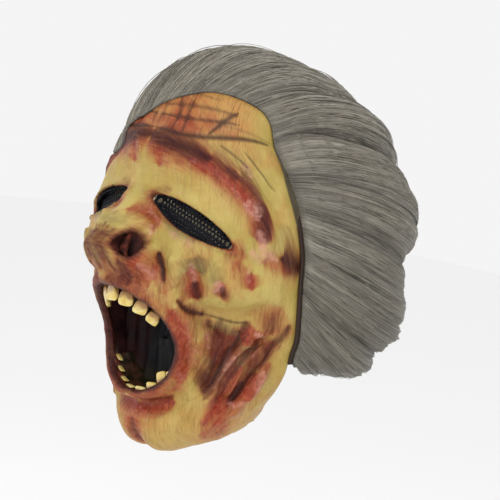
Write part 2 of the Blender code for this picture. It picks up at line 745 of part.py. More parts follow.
def make_teeth(skin, upper, parts, look):
    """A row of teeth along one gum, each square to its own stretch of the gum's line."""
    count = UPPER_TEETH if upper else LOWER_TEETH
    length = UPPER_TOOTH if upper else LOWER_TOOTH
    label = "upper" if upper else "lower"
    line = [Vector(point) for point in gum_line(skin, upper, -GUM_HEIGHT / 2)]
    inwards = Vector((0.0, GUM_DEPTH / 2, 0.0))
    upright = Vector((0.0, 0.0, -1.0 if upper else 1.0))
    for i in range(count):
        before, middle, after = line[2 * i : 2 * i + 3]
        run = after - before
        square = run.cross(Vector((0.0, 1.0, 0.0))).normalized()
        up = (square * math.copysign(1.0, square.dot(upright)) + upright).normalized()
        front = run.cross(up).normalized()
        if front.y > 0:
            front.negate()
        breadth = (run - up * run.dot(up)).length * TOOTH_SHARE
        ends = (before - middle, after - middle)
        rise = gum_rise(ends, up, front.cross(up), front, breadth * ROOT_BREADTH)
        root = middle + up * (rise + GAP) + inwards
        make_tooth(f"{label}_tooth_{i + 1}", root, up, front, length, breadth, parts, look)


def main():
    for obj in list(bpy.data.objects):
        bpy.data.objects.remove(obj)
    scene = bpy.context.scene
    parts = bpy.data.collections.new(PART_NAME)
    cutters = bpy.data.collections.new(PART_NAME + "_cutters")
    scene.collection.children.link(parts)
    scene.collection.children.link(cutters)

    latex = material("latex", (0.56, 0.46, 0.20), 0.42)
    cloth = material("cap_cloth", (0.07, 0.045, 0.03), 0.85)
    fibre = material("wig_hair", (0.24, 0.22, 0.19), 0.60)
    mesh_cloth = material("black_mesh", (0.015, 0.015, 0.016), 0.55)
    pocket_cloth = material("pocket_cloth", (0.03, 0.025, 0.028), 0.70)
    gum = material("gum", (0.20, 0.07, 0.05), 0.40)
    enamel = material("tooth", (0.78, 0.66, 0.36), 0.35)

    face, skin = make_face(parts, latex)
    add_wall(face, LATEX_WALL, inwards=True)
    open_face(face, cutters)
    make_screen("eye_screen_left", 1, skin, parts, mesh_cloth)
    make_screen("eye_screen_right", -1, skin, parts, mesh_cloth)
    make_pocket(skin, parts, pocket_cloth)
    for upper, name in ((True, "upper_gum"), (False, "lower_gum")):
        make_gum(name, upper, skin, parts, gum)
        make_teeth(skin, upper, parts, enamel)
    cap, dome = make_cap(skin, parts, cloth)
    add_wall(cap, CAP_WALL, inwards=False)
    make_hair(dome, parts, fibre)


main()
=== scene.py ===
"""Old woman mask: the finished surfaces of the part, built round its frame.

Metres, +Z up. The face looks along -Y, +X is the wearer's left, and the origin is the inner top of the cap.
"""

import math

import bpy
import numpy as np
from mathutils import Matrix, Vector


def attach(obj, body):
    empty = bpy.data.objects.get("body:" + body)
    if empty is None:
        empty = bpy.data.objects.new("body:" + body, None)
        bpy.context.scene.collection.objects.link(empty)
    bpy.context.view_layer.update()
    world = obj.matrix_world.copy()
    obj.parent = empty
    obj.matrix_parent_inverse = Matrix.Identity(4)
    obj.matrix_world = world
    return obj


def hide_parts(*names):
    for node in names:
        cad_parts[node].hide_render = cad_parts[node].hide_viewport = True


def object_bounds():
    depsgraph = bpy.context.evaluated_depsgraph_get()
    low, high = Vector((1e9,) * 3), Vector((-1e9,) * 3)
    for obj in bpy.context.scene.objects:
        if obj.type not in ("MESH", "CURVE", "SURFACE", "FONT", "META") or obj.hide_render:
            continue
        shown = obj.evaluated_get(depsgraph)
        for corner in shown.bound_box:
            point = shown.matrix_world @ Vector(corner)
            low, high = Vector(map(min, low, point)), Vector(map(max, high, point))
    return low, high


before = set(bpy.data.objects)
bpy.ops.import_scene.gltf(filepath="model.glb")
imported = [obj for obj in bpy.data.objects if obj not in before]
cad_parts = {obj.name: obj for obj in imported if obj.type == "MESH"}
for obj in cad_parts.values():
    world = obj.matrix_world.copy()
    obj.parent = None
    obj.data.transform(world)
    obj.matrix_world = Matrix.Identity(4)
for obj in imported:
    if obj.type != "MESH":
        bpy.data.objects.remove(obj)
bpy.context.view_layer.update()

# Sizes of the face sheet and its wall
FACE_HEIGHT = 0.260
FACE_HALF_WIDTH = 0.088
FACE_REACH = 0.105
HAIRLINE_DROP = 0.033
LATEX_WALL = 0.003
HALF_ARC = 1.62

# Sizes of the cap
CAP_HALF_WIDTH = 0.085
CAP_FRONT = 0.098
CAP_BACK = 0.112
CAP_RISE = 0.105
CAP_FALL = 0.160
CAP_OVAL = (CAP_HALF_WIDTH, CAP_FRONT, CAP_BACK, CAP_RISE, CAP_FALL, 2.0)
CAP_WALL = 0.002
CAP_LAP = 0.010
CAP_SEAT = 0.0018
CORNER_SHARE = 8 / 22
JAW_LEVEL = 0.32
LAP_SHARE = 0.12
DOME_SHARE = 0.30
SEAM_TOP_DEG = 25.0
SEAM_FOOT_DEG = -48.0
HEAD_CENTRE = np.array([0.0, 0.0, -CAP_RISE])

# Sizes of the wig
HAIR_HALF_WIDTH = 0.115
HAIR_FRONT = 0.106
HAIR_BACK = 0.132
HAIR_RISE = 0.127
HAIR_FALL = 0.122
HAIR_CENTRE = np.array([0.0, 0.014, -0.127])
HAIR_POWER, HAIR_LOW_POWER = 2.3, 3.4
HAIR_OVAL = (HAIR_HALF_WIDTH, HAIR_FRONT, HAIR_BACK, HAIR_RISE, HAIR_FALL, HAIR_POWER, HAIR_LOW_POWER)
WIG_SEAT = 0.0020
LOCK_DEPTH = 0.009
LOCKS = 12
CREST_POWER, CREST_MEAN = 0.7, 0.6
SEAM_DIP, SEAM_DIP_START = 0.40, 0.75
HEM_TUCK, HEM_START = 0.15, 0.70

# Front of the hair over the skin, from the wearer's right jaw over the brow to the left one
HAIRLINE = (
    # along, across, level
    (-1.00, -1.000, 0.320),
    (-0.80, -1.000, 0.490),
    (-0.64, -0.990, 0.660),
    (-0.50, -0.940, 0.770),
    (-0.38, -0.760, 0.830),
    (-0.24, -0.450, 0.868),
    (-0.12, -0.170, 0.925),
    (0.00,  0.000, 0.960),
    (0.09,  0.190, 0.986),
    (0.17,  0.385, 1.013),
    (0.25,  0.600, 1.031),
    (0.33,  0.820, 1.034),
    (0.40,  0.960, 1.010),
    (0.48,  1.000, 0.940),
    (0.58,  1.000, 0.810),
    (0.72,  1.000, 0.640),
    (0.86,  1.000, 0.480),
    (1.00,  1.000, 0.320),
)
HAIRLINE_SPOTS = np.array([row[1:] for row in HAIRLINE[3:12]] + [(1.001, 1.2)])
SHEET_TUCK = 0.014
HAIR_RISE_SHARE = 0.36
HAIR_TUCK, ROOT_HEIGHT, LEAST_HAIR = 0.0008, 0.0008, 0.004
# Where along the hairline the hair leaves the skin and lies on the cap
ON_CAP_START, ON_CAP_FADE = 0.44, 0.12
SPLIT_DEPTH, FINE_DEPTH = 0.0030, 0.0010
STRANDS, STRAND_STEPS = 2700, 11
STRAND_RADIUS = (0.00016, 0.00034)
# Share of the strands that start at the hairline, that reach the seam, that stray and that are brown
FROM_FRONT, TO_SEAM, STRAY, BROWN = 0.55, 0.60, 0.03, 0.12
# Spread of a strand's slant and of its waves, and how high a strand lies over the locks
SLANT, WAVE = 0.0022, 0.0009
STRAY_LIFT, STRAND_LIFT, STRAND_SEAT = (0.0008, 0.0020), (0.0, 0.0005), 0.0001
# How narrow the painted shade in the gaps beside wide, split and fine locks is, and how dark
BODY_GAP_SHADE = (1.9, 2.4, 2.2), (0.8, 0.6, 0.3)
STRAND_GAP_SHADE = (2.2, 2.6), (0.7, 0.5)

# Where the cap's front edge lies, as shares of the way back: beside the cheeks and over the brow
CAP_SIDE_START, CAP_BROW_START = 0.095, 0.30

# Seats of the pieces behind the latex
DEEP_SEAT = 0.0014
SCREEN_LAP = 0.006
POCKET_LAP = 0.0125
POCKET_DROP = 0.003
POCKET_BACK = 0.046
POCKET_RINGS = (
    # share of the rows, share of the way back, share of the front ring's size
    (0.00, 0.00, 1.00),
    (0.30, 0.50, 1.02),
    (0.55, 0.86, 1.00),
    (0.68, 0.98, 0.88),
    (0.85, 1.02, 0.45),
    (1.00, 1.03, 0.03),
)
POCKET_COLUMNS, POCKET_ROWS = 180, 60
POCKET_WALL = 0.0012
HANGING_WRINKLE, FINE_WRINKLE, POCKET_FOLD = 0.0016, 0.0010, 0.0012
SCREEN_WALL = 0.0006
FLOOR_REACH, FLOOR_BULGE, FLOOR_RIDGE, FLOOR_WALL = 0.026, 0.0035, 0.0035, 0.0012
FLOOR_ROWS = 24
NOSTRIL_DEPTH, NOSTRIL_LAP, NOSTRIL_SEAT = 0.014, 0.0024, 0.0026
NOSTRIL_COLUMNS, NOSTRIL_ROWS = 36, 10
SEPTUM_BREADTH, SEPTUM_SINK, SEPTUM_DEPTH = 0.0022, 0.0022, 0.0060
HOLE_PITCH, HOLE_RADIUS, WIDE_HOLE, NARROW_HOLE = 0.0031, 0.00085, 1.12, 0.50

# Gums and teeth
GUM_DEPTH = 0.0065
GUM_HEIGHT = 0.008
GUM_SEAT = 0.0021
UPPER_GUM_TUCK = 0.0025
LOWER_GUM_TUCK = 0.0045
UPPER_GUM_ARC = (33.0, 150.0)
LOWER_GUM_ARC = (-146.0, -34.0)
GUM_POINTS, GUM_SIDES, GUM_POWER = 90, 20, 0.7
UPPER_TEETH, LOWER_TEETH = 7, 8
UPPER_TOOTH, LOWER_TOOTH = 0.0120, 0.0080
TOOTH_THICKNESS = 0.0055
TOOTH_SHARE = 0.80
TOOTH_COLUMNS, TOOTH_ROWS, TOOTH_POWER = 24, 16, 0.48
TIP_BREADTH, ROOT_BREADTH, TIP_THICKNESS = 0.94, 0.82, 0.55
UPPER_TOOTH_SET, LOWER_TOOTH_SET = -0.0012, 0.0028
# Height of each tooth as a share of its row's, from the wearer's left for the upper row
UPPER_TALL = (0.86, 0.92, 0.96, 0.98, 0.86, 0.62, 0.45)
LOWER_TALL = (0.16, 0.16, 0.18, 0.26, 0.44, 0.70, 1.22, 0.50)
TOOTH_SWELL, TIP_SWELL = 1.08, 1.08

# Sections of the face from the neck up, as shares of the sizes above
SECTIONS = (
    # level, drop, forward, half_width, edge_forward, edge_drop, fullness
    (0.00,  0.965, 0.13, 0.61, -0.11, 0.845, 2.00),
    (0.08,  0.985, 0.36, 0.70, -0.06, 0.815, 2.00),
    (0.15,  0.940, 0.56, 0.82, -0.02, 0.775, 1.85),
    (0.24,  0.850, 0.66, 0.91, -0.01, 0.720, 1.60),
    (0.36,  0.720, 0.83, 0.95,  0.00, 0.660, 1.32),
    (0.48,  0.592, 0.96, 0.98,  0.00, 0.600, 1.38),
    (0.55,  0.512, 0.96, 1.00,  0.04, 0.538, 1.65),
    (0.64,  0.404, 0.92, 1.00,  0.07, 0.462, 2.50),
    (0.73,  0.300, 0.89, 1.01,  0.11, 0.377, 2.80),
    (0.80,  0.223, 0.86, 0.98,  0.17, 0.292, 1.95),
    (0.87,  0.146, 0.84, 0.90,  0.22, 0.215, 1.60),
    (0.94,  0.058, 0.80, 0.82,  0.26, 0.148, 1.75),
    (1.00, -0.030, 0.70, 0.72,  0.28, 0.090, 1.90),
    (1.10, -0.083, 0.48, 0.58,  0.05, -0.040, 1.90),
)
SHEET_TOP = 1.08

NOSE = (
    # level, relief, half_breadth
    (0.525, 0.00, 0.32),
    (0.550, 0.07, 0.34),
    (0.575, 0.20, 0.37),
    (0.605, 0.30, 0.38),
    (0.650, 0.25, 0.32),
    (0.700, 0.13, 0.25),
    (0.750, 0.04, 0.21),
    (0.800, 0.00, 0.20),
)
NOSE_RIDGE, NOSE_FOOT = 2.2, 1.6

# Openings in the latex: the middle's place, half sizes as shares of the face's, turn and power
OPENINGS = {
    "eye":     (0.340, 0.717, 0.392, 0.0295, -14.0, 1.62),
    "nostril": (0.128, 0.630, 0.068, 0.028, 14.0, 1.8),
    "mouth":   (0.000, 0.396, 0.515, 0.128, 0.0, 2.1),
}
RIMS = {
    "eye": (0.16, 0.022),
    "mouth": (0.14, 0.060),
}

# Swellings and hollows: breadth and height as shares of the half width and the height, relief of the reach
FORMS = (
    # across, level, breadth, height, turn_deg, relief, paired
    (0.00, 0.535, 0.42, 0.028,   0.0,  0.022, False),
    (0.11, 0.125, 0.20, 0.060,   0.0,  0.062, True),
    (0.66, 0.605, 0.36, 0.060,  -8.0,  0.075, True),
    (0.34, 0.825, 0.50, 0.034, -12.0,  0.045, True),
    (0.34, 0.722, 0.52, 0.058, -13.0, -0.055, True),
    (0.26, 0.595, 0.10, 0.040,  10.0, -0.045, True),
    (0.43, 0.580, 0.14, 0.040,  20.0, -0.055, True),
    (0.58, 0.420, 0.16, 0.080,  38.0, -0.060, True),
    (0.78, 0.300, 0.30, 0.070,  30.0,  0.035, True),
    (0.88, 0.840, 0.20, 0.060,   0.0, -0.030, True),
)

FOLDS = (
    # across_a, level_a, across_b, level_b, bow, breadth, relief
    (0.06, 0.880, 0.70, 0.815,  0.16, 0.110,  0.050),
    (0.68, 0.830, 0.74, 0.730,  0.10, 0.090,  0.050),
    (0.40, 0.530, 0.76, 0.535, -0.14, 0.070, -0.055),
    (0.82, 0.500, 0.46, 0.230,  0.06, 0.090,  0.045),
    (0.84, 0.430, 0.58, 0.200,  0.05, 0.090, -0.045),
    (0.86, 0.370, 0.70, 0.180,  0.04, 0.090,  0.035),
    (0.26, 0.560, 0.47, 0.380,  0.12, 0.080,  0.045),
    (0.47, 0.380, 0.40, 0.180,  0.06, 0.070, -0.045),
    (0.00, 0.230, 0.34, 0.235, -0.05, 0.070, -0.055),
)

# Strokes are rows of whole numbers: the breadth in tenths of a millimetre, a relief or a strength, and then
# across and level of each point that the stroke runs through, in thousandths
POINT_UNIT, BREADTH_UNIT, STRENGTH_UNIT = 1000, 10000, 100

# Fine relief that only the finished surface has, in tenths of a millimetre: creases below 0, ridges above
WRINKLES = (
    (16, -7, 0, 978, 200, 990, 420, 1000), (16, -8, 0, 958, 280, 972, 600, 990),
    (18, -9, 0, 940, 300, 950, 620, 975), (22, -13, 0, 912, 220, 912, 420, 926, 660, 952, 900, 976),
    (18, -10, 490, 918, 590, 908, 700, 890), (18, -10, 665, 926, 760, 902, 885, 862),
    (18, -9, 120, 985, 155, 950, 150, 918), (18, -9, 235, 985, 222, 950, 225, 918),
    (18, -10, 600, 998, 500, 968, 400, 932), (30, -12, 100, 880, 108, 850, 100, 828),
    (21, -30, 222, 626, 242, 602, 272, 576, 290, 560), (50, 22, 300, 622, 320, 590, 340, 560),
    (34, 26, 70, 682, 120, 688, 160, 668, 176, 640), (30, -18, 100, 712, 150, 706, 178, 690),
    (24, -22, 62, 655, 50, 615, 72, 570), (24, -22, 0, 665, 8, 610, 0, 560),
    (20, -18, 30, 660, 26, 620, 36, 575), (50, 30, 48, 680, 90, 674, 132, 662),
    (24, -18, 20, 545, 60, 552, 110, 560), (22, -16, 110, 585, 120, 560, 115, 535),
    (20, -14, 40, 580, 50, 555, 45, 535), (28, -24, 150, 606, 170, 590, 190, 572),
    (50, -34, 400, 650, 420, 600, 440, 555), (46, 26, 500, 640, 520, 590, 500, 540),
    (34, -32, 560, 610, 575, 585, 560, 560), (38, 22, 590, 600, 610, 570, 590, 545),
    (20, -22, 358, 531, 400, 511, 450, 499, 510, 492), (32, -26, 510, 492, 600, 488, 680, 490, 740, 500),
    (42, -22, 690, 645, 695, 625, 700, 605), (40, 22, 640, 690, 700, 686, 760, 692),
    (40, -26, 730, 740, 715, 705, 720, 680), (70, -34, 860, 700, 930, 696, 1000, 690),
    (34, -30, 450, 500, 536, 455, 587, 420, 565, 370, 500, 290), (22, -12, 400, 410, 404, 370, 400, 330),
    (20, -10, 470, 470, 468, 430, 464, 400), (26, -32, 710, 466, 688, 420, 623, 360, 579, 316, 520, 277),
    (30, 28, 665, 400, 600, 334, 545, 288, 490, 255),
    (28, -30, 782, 405, 746, 372, 680, 338, 623, 300, 580, 262),
    (42, 42, 855, 427, 782, 360, 710, 305, 660, 255, 623, 210),
    (28, -36, 905, 455, 877, 405, 826, 355, 775, 316, 710, 266, 652, 216),
    (30, -20, 830, 440, 790, 440, 762, 458), (46, 18, 840, 300, 800, 250, 760, 210),
    (40, 16, 560, 230, 520, 190, 470, 165), (36, -24, 0, 226, 120, 228, 260, 236),
    (70, -12, 0, 175, 10, 120, 0, 70),
)
WRINKLE_STEPS = 8
CREASE_SHARE, DEEPEST_CREASE = 0.85, 0.0023
# How much softer each airbrushed colour spreads than its stroke's own breadth
PAINT_SPREAD = {"red": 1.60, "maroon": 1.60, "line": 1.25, "pink": 1.1, "olive": 1.8}
# Colour that gathers round the openings: share of the opening's radius that it reaches, and strength
RIM_PAINT = {
    "mouth": {"maroon": (0.16, 1.25), "red": (0.30, 0.66)},
    "nostril": {"maroon": (0.30, 0.95), "red": (0.55, 0.70)},
    "eye": {"maroon": (0.10, 0.70), "red": (0.22, 0.60), "olive": (0.50, 0.35)},
}
# The mouth's colour thins out over its middle, above and below
MOUTH_THINNING, MOUTH_CORNER = 0.62, 0.46
# How far behind the lips, in radii of the mouth, the bare inside is painted dark as well: the lips' paint
# carried inwards, and painted shade inside the mouth
LIP_BACK = 1.50
LIP_ROLL = {"eye": (0.10, 0.0016), "nostril": (0.80, 0.0022), "mouth": (0.055, 0.0028)}
# Depth, breadth and height of the latex's soft lumps and of its smaller ones
UNEVENNESS = (0.0005, 0.011, 0.009), (0.0005 * 0.6, 0.0045, 0.0055)

# Airbrushed marks, with each stroke's strength in hundredths
PAINT = {
    "red": (
        (65, 60, 0, 875, 110, 868, 300, 862, 420, 858), (35, 70, 100, 870, 104, 850, 100, 825),
        (70, 95, 300, 862, 420, 855, 520, 838, 610, 812, 675, 786), (65, 80, 660, 795, 700, 760, 705, 725),
        (60, 55, 560, 684, 600, 675, 640, 672), (42, 95, 690, 640, 697, 622, 705, 606),
        (45, 60, 600, 652, 640, 640, 660, 648), (55, 70, 740, 676, 820, 680, 930, 676),
        (48, 80, 40, 705, 100, 712, 150, 700, 172, 672), (80, 75, 150, 605, 190, 585, 235, 572),
        (50, 50, 250, 560, 285, 560, 300, 545), (70, 90, 410, 600, 430, 560, 455, 535),
        (60, 35, 350, 655, 420, 650, 500, 655), (36, 75, 560, 600, 574, 580, 560, 562),
        (80, 95, 320, 500, 365, 470, 380, 420, 370, 350, 340, 300),
        (60, 65, 0, 268, 150, 262, 300, 276, 370, 310), (46, 95, 0, 212, 120, 215, 275, 228),
        (62, 70, 0, 200, 25, 160, 10, 100), (70, 45, 0, 560, 100, 540, 230, 530, 330, 505),
        (80, 85, 765, 490, 775, 455, 740, 430), (60, 80, 560, 240, 575, 205, 600, 180),
        (50, 75, 720, 330, 640, 270, 560, 215, 490, 155), (55, 75, 800, 300, 720, 240, 640, 185, 560, 140),
        (50, 70, 880, 340, 820, 275, 740, 215), (60, 55, 900, 440, 840, 380, 780, 330),
        (60, 55, 680, 440, 640, 390, 580, 340), (90, 45, 480, 170, 560, 145, 660, 155, 740, 185),
        (80, 55, 450, 120, 560, 110, 640, 125), (70, 60, 720, 240, 770, 225, 800, 240),
        (90, 45, 520, 430, 560, 400, 560, 360), (90, 35, 0, 985, 200, 975, 420, 965),
        (40, 45, 0, 925, 200, 930, 420, 940, 600, 955), (45, 40, 130, 990, 150, 950, 140, 915),
        (45, 35, 240, 990, 225, 950, 215, 915), (60, 50, 0, 995, 0, 900),
        (60, 35, 850, 960, 940, 945, 1000, 940), (60, 25, 600, 915, 700, 930, 820, 925),
        (90, 50, 900, 560, 860, 520, 840, 470),
    ),
    "maroon": (
        (58, 100, 0, 896, 110, 892, 220, 888, 330, 884, 430, 880), (48, 70, 430, 880, 520, 868, 600, 848),
        (36, 72, 540, 866, 630, 840, 695, 803, 730, 760, 728, 718), (60, 35, 640, 880, 700, 862, 760, 840),
        (40, 80, 680, 790, 706, 760, 704, 720), (80, 100, 870, 700, 930, 700, 1000, 696),
        (15, 100, 222, 626, 242, 602, 285, 566), (26, 60, 62, 655, 50, 615, 72, 570),
        (24, 50, 0, 665, 8, 610, 0, 560), (20, 45, 30, 660, 26, 620, 36, 575),
        (26, 55, 20, 545, 60, 552, 110, 560), (24, 60, 110, 590, 118, 565, 112, 545),
        (44, 50, 110, 590, 140, 570, 180, 575), (40, 90, 430, 572, 455, 548, 465, 535),
        (26, 85, 568, 592, 582, 578, 575, 566), (10, 90, 358, 531, 400, 511, 450, 499, 510, 492),
        (50, 50, 420, 515, 480, 485, 540, 460), (66, 72, 536, 475, 590, 425, 570, 370, 520, 315, 470, 262),
        (60, 50, 420, 290, 470, 290, 520, 300), (42, 66, 740, 500, 688, 420, 623, 360, 579, 316, 480, 240),
        (38, 66, 830, 450, 746, 372, 680, 328, 623, 290, 535, 220),
        (40, 80, 960, 510, 880, 405, 826, 352, 775, 308, 640, 200), (22, 80, 720, 273, 674, 232, 650, 214),
        (50, 60, 840, 490, 860, 520, 870, 480), (30, 70, 0, 238, 140, 240, 280, 246),
        (40, 65, 0, 185, 12, 140, 0, 90), (36, 50, 0, 535, 120, 525, 230, 512),
        (26, 45, 100, 750, 130, 770, 200, 778),
    ),
    "line": (
        (13, 60, 760, 475, 700, 410, 630, 345, 560, 295, 495, 258),
        (13, 65, 830, 435, 765, 372, 690, 322, 625, 275, 585, 238),
        (13, 70, 905, 430, 850, 360, 790, 315, 720, 262, 665, 212),
        (11, 45, 940, 430, 885, 370, 825, 320, 760, 268), (11, 50, 640, 470, 628, 425, 592, 380, 545, 330),
        (10, 45, 500, 480, 520, 440, 515, 390, 490, 340), (10, 45, 600, 255, 560, 225, 520, 200),
        (10, 40, 460, 250, 400, 235, 330, 235), (10, 45, 640, 745, 672, 720, 690, 690),
        (10, 50, 780, 735, 820, 705, 880, 690), (9, 35, 600, 640, 640, 620, 660, 590),
        (9, 35, 350, 640, 372, 600, 380, 560), (11, 50, 560, 870, 640, 845, 700, 810, 740, 760),
        (10, 45, 600, 885, 680, 862, 750, 820, 780, 780), (10, 60, 0, 978, 200, 990, 420, 1000),
        (11, 70, 0, 958, 280, 972, 600, 990), (11, 80, 0, 940, 300, 950, 620, 975),
        (15, 95, 0, 912, 220, 912, 420, 926, 660, 952, 900, 976), (11, 50, 500, 958, 720, 972, 1000, 990),
        (11, 75, 490, 918, 590, 908, 700, 890), (11, 80, 665, 926, 760, 902, 885, 862),
        (20, 75, 120, 985, 155, 950, 150, 918), (20, 75, 235, 985, 222, 950, 225, 918),
        (16, 60, 20, 985, 30, 950, 25, 918), (17, 90, 600, 998, 500, 968, 400, 932),
        (12, 40, 640, 905, 730, 872, 800, 820), (10, 90, 358, 531, 400, 511, 450, 499, 510, 492),
        (11, 80, 510, 492, 600, 488, 680, 490, 740, 500), (9, 50, 400, 410, 404, 370, 400, 330),
        (9, 50, 470, 470, 468, 430, 464, 400), (14, 90, 712, 470, 688, 420, 623, 360, 579, 316, 520, 277),
        (12, 95, 720, 273, 674, 232, 650, 214), (12, 60, 870, 432, 800, 404, 760, 396),
        (12, 100, 222, 626, 242, 602, 285, 566),
    ),
    # Pink painted highlights, laid on the places where the latex shines wet; these places are made glossier
    # as well
    "pink": (
        (17, 55, 800, 462, 745, 400, 665, 347, 600, 303, 545, 268),
        (19, 60, 872, 450, 818, 385, 748, 332, 680, 276, 640, 226),
        (14, 35, 300, 858, 420, 848, 520, 830, 590, 808), (12, 35, 110, 748, 160, 768, 260, 778, 380, 768),
        (16, 45, 90, 735, 140, 705, 230, 684), (18, 40, 560, 560, 600, 545, 640, 552),
        (16, 45, 410, 480, 420, 440, 425, 400), (46, 85, 620, 790, 665, 783, 690, 765),
        (36, 70, 685, 745, 712, 725, 735, 700), (50, 85, 660, 688, 705, 684, 760, 698, 830, 692),
        (24, 55, 676, 655, 672, 635, 690, 620), (34, 80, 545, 605, 556, 588, 545, 572),
        (30, 70, 405, 620, 418, 596, 432, 570), (40, 50, 250, 676, 310, 668, 400, 662),
        (22, 75, 145, 680, 165, 672, 172, 660), (34, 60, 170, 595, 200, 580, 225, 565),
        (40, 65, 640, 895, 690, 886, 720, 870), (36, 80, 785, 484, 815, 468, 848, 450),
        (40, 70, 845, 310, 820, 270, 800, 232), (36, 60, 640, 206, 690, 196, 740, 204),
        (46, 55, 510, 440, 535, 415, 540, 385), (70, 35, 440, 400, 448, 360, 430, 320),
        (36, 55, 690, 375, 660, 350, 620, 320), (40, 50, 330, 320, 360, 305, 380, 310),
    ),
    "olive": (
        (62, 75, 440, 640, 450, 620, 470, 605), (60, 40, 520, 630, 540, 615, 560, 605),
        (60, 45, 330, 890, 480, 892, 640, 880, 700, 860), (80, 50, 640, 860, 700, 835, 740, 790),
        (40, 50, 200, 712, 300, 688, 400, 676), (60, 55, 600, 480, 600, 440, 610, 410),
        (50, 60, 720, 470, 690, 430, 640, 380), (80, 45, 930, 780, 900, 740, 930, 720),
        (50, 30, 240, 640, 270, 600, 320, 550), (85, 50, 0, 690, 30, 630, 20, 570),
        (60, 45, 0, 540, 60, 550, 120, 560), (60, 35, 420, 640, 400, 600, 420, 560),
        (90, 50, 590, 480, 640, 440, 600, 380, 540, 330), (45, 70, 750, 500, 690, 425, 600, 345, 500, 260),
        (40, 60, 850, 460, 765, 385, 670, 315, 560, 235),
    ),
}

# The brow and temple of the sheet are tanner, the rest is a yellow ochre: place and softness of that change
TAN_START, TAN_FULL, CHIN_TAN = 0.895, 0.955, 0.50

# Colours, as linear shares of red, green and blue. A pair is the dark and the light end of a range.
OCHRE = (0.400, 0.300, 0.074), (0.500, 0.390, 0.118)
MOTTLE, BLOTCH, TAN = (0.360, 0.210, 0.055), (0.420, 0.215, 0.055), (0.440, 0.200, 0.055)
OLIVE, RED, BLUSH = (0.115, 0.080, 0.030), (0.265, 0.027, 0.012), (0.500, 0.150, 0.070)
# The pink is a painted highlight
MAROON, PINK_HIGHLIGHT = (0.034, 0.005, 0.005), (0.600, 0.290, 0.220)
BROWN_LINE, STREAK = (0.034, 0.010, 0.006), (0.085, 0.022, 0.010)
HAIR_GREYS = (0.048, 0.042, 0.032), (0.360, 0.334, 0.268)
CAP_BROWNS = (0.010, 0.005, 0.003), (0.050, 0.022, 0.012)
LINING_CREAMS = (0.740, 0.680, 0.540), (0.840, 0.790, 0.660)
BARE_CREAMS = (0.460, 0.360, 0.200), (0.620, 0.520, 0.340)
MESH_BLACKS = (0.003, 0.003, 0.005), (0.009, 0.010, 0.014)
POCKET_BLACKS = (0.0015, 0.0015, 0.0020), (0.006, 0.006, 0.009)
GUM_REDS = (0.040, 0.014, 0.009), (0.150, 0.038, 0.024)
FLOOR_BROWNS = (0.010, 0.009, 0.004), (0.055, 0.022, 0.012)
IVORY = (0.620, 0.440, 0.095), (0.740, 0.610, 0.220)
# Depth in metres and strength of the skin's mottling, brush marks, streaks, grain and pores
SKIN_BUMPS = (0.0014, 0.6), (0.0012, 0.6), (0.0005, 0.5), (0.0004, 0.5), (0.0003, 0.4)

# Resolution of the grids
FACE_COLUMNS, FACE_ROWS = 314, 298
INNER_COLUMNS, INNER_ROWS = 118, 112
# How much wider than the skin's opening the one in the bare inside is
INNER_GROW = {"eye": 1.0, "nostril": 1.12, "mouth": 1.0}
# Middle of the arcs that the brushed paint follows, as across and level
SWIRL_MIDDLE, SWIRL_STRETCH = (0.10, 0.50), 0.06
HAIR_COLUMNS, HAIR_ROWS, HEM_STEPS = 600, 112, 5
CAP_COLUMNS, CAP_ROWS = 180, 60

# Camera: it looks along the photograph's line of sight, with the object turned a little in the picture
VIEW_AZIMUTH, VIEW_ELEVATION, VIEW_ROLL = 45.0, 5.0, 9.0
VIEW_DISTANCE = 1.250
VIEW_TARGET = Vector((0.0, 0.005, -0.130))
TARGET_PIXEL = (231.5, 234.6)
PICTURE = 500
LENS, SENSOR = 120.0, 36.0

FLOOR_DROP, FLOOR_SIZE, FLOOR_COLOUR = 0.40, 6.0, (0.96, 0.96, 0.96)
SURROUND_STRENGTH = 0.91

LAMPS = (
    # name, place, size, power
    ("key_lamp", (1.05, -1.15, 0.85), 0.60, 11.5),
    ("top_lamp", (0.10, 0.30, 1.30), 0.80, 3.2),
    ("low_lamp", (-0.90, -0.80, -0.10), 0.80, 2.6),
)
SEED = 11


def table_at(table, position):
    """Smooth curve through the rows of a table whose first column is the position."""
    place = table[:, 0]
    slope = np.gradient(table, place, axis=0)
    position = np.asarray(position, float)
    row = np.clip(np.searchsorted(place, position, side="right") - 1, 0, len(place) - 2)
    step = place[row + 1] - place[row]
    t = np.clip((position - place[row]) / step, 0.0, 1.0)[..., None]
    step = step[..., None]
    start = (2 * t**3 - 3 * t**2 + 1) * table[row] + (t**3 - 2 * t**2 + t) * step * slope[row]
    end = (3 * t**2 - 2 * t**3) * table[row + 1] + (t**3 - t**2) * step * slope[row + 1]
    return start + end


def base_face(across, level):
    """Points of the face before its forms: a curved section at each level."""
    rows = table_at(np.array(SECTIONS), level)
    _, drop, forward, half_width, edge_forward, edge_drop, fullness = np.moveaxis(rows, -1, 0)
    angle = np.abs(across) * math.pi / 2
    radius = (np.sin(angle) ** fullness + np.cos(angle) ** fullness) ** (-1 / fullness)
    fall = 1 - radius * np.cos(angle)
    x = np.sign(across) * half_width * FACE_HALF_WIDTH * radius * np.sin(angle)
    y = -(forward + (edge_forward - forward) * fall) * FACE_REACH
    z = -HAIRLINE_DROP - (drop + (edge_drop - drop) * fall) * FACE_HEIGHT
    return np.stack([x, y, z], -1)


def facing(surface, across, level, step=1e-3):
    """Unit vectors out of a surface, from its slopes."""
    lo_a, hi_a = np.clip(across - step, -1, 1), np.clip(across + step, -1, 1)
    lo_l, hi_l = np.clip(level - step, 0, SHEET_TOP), np.clip(level + step, 0, SHEET_TOP)
    along_rows = surface(hi_a, level) - surface(lo_a, level)
    up_columns = surface(across, hi_l) - surface(across, lo_l)
    return unit(np.cross(along_rows, up_columns))


def laid_flat(across, level):
    """Metres across and up the sheet, as if it were laid flat."""
    return across * HALF_ARC * FACE_HALF_WIDTH, level * FACE_HEIGHT


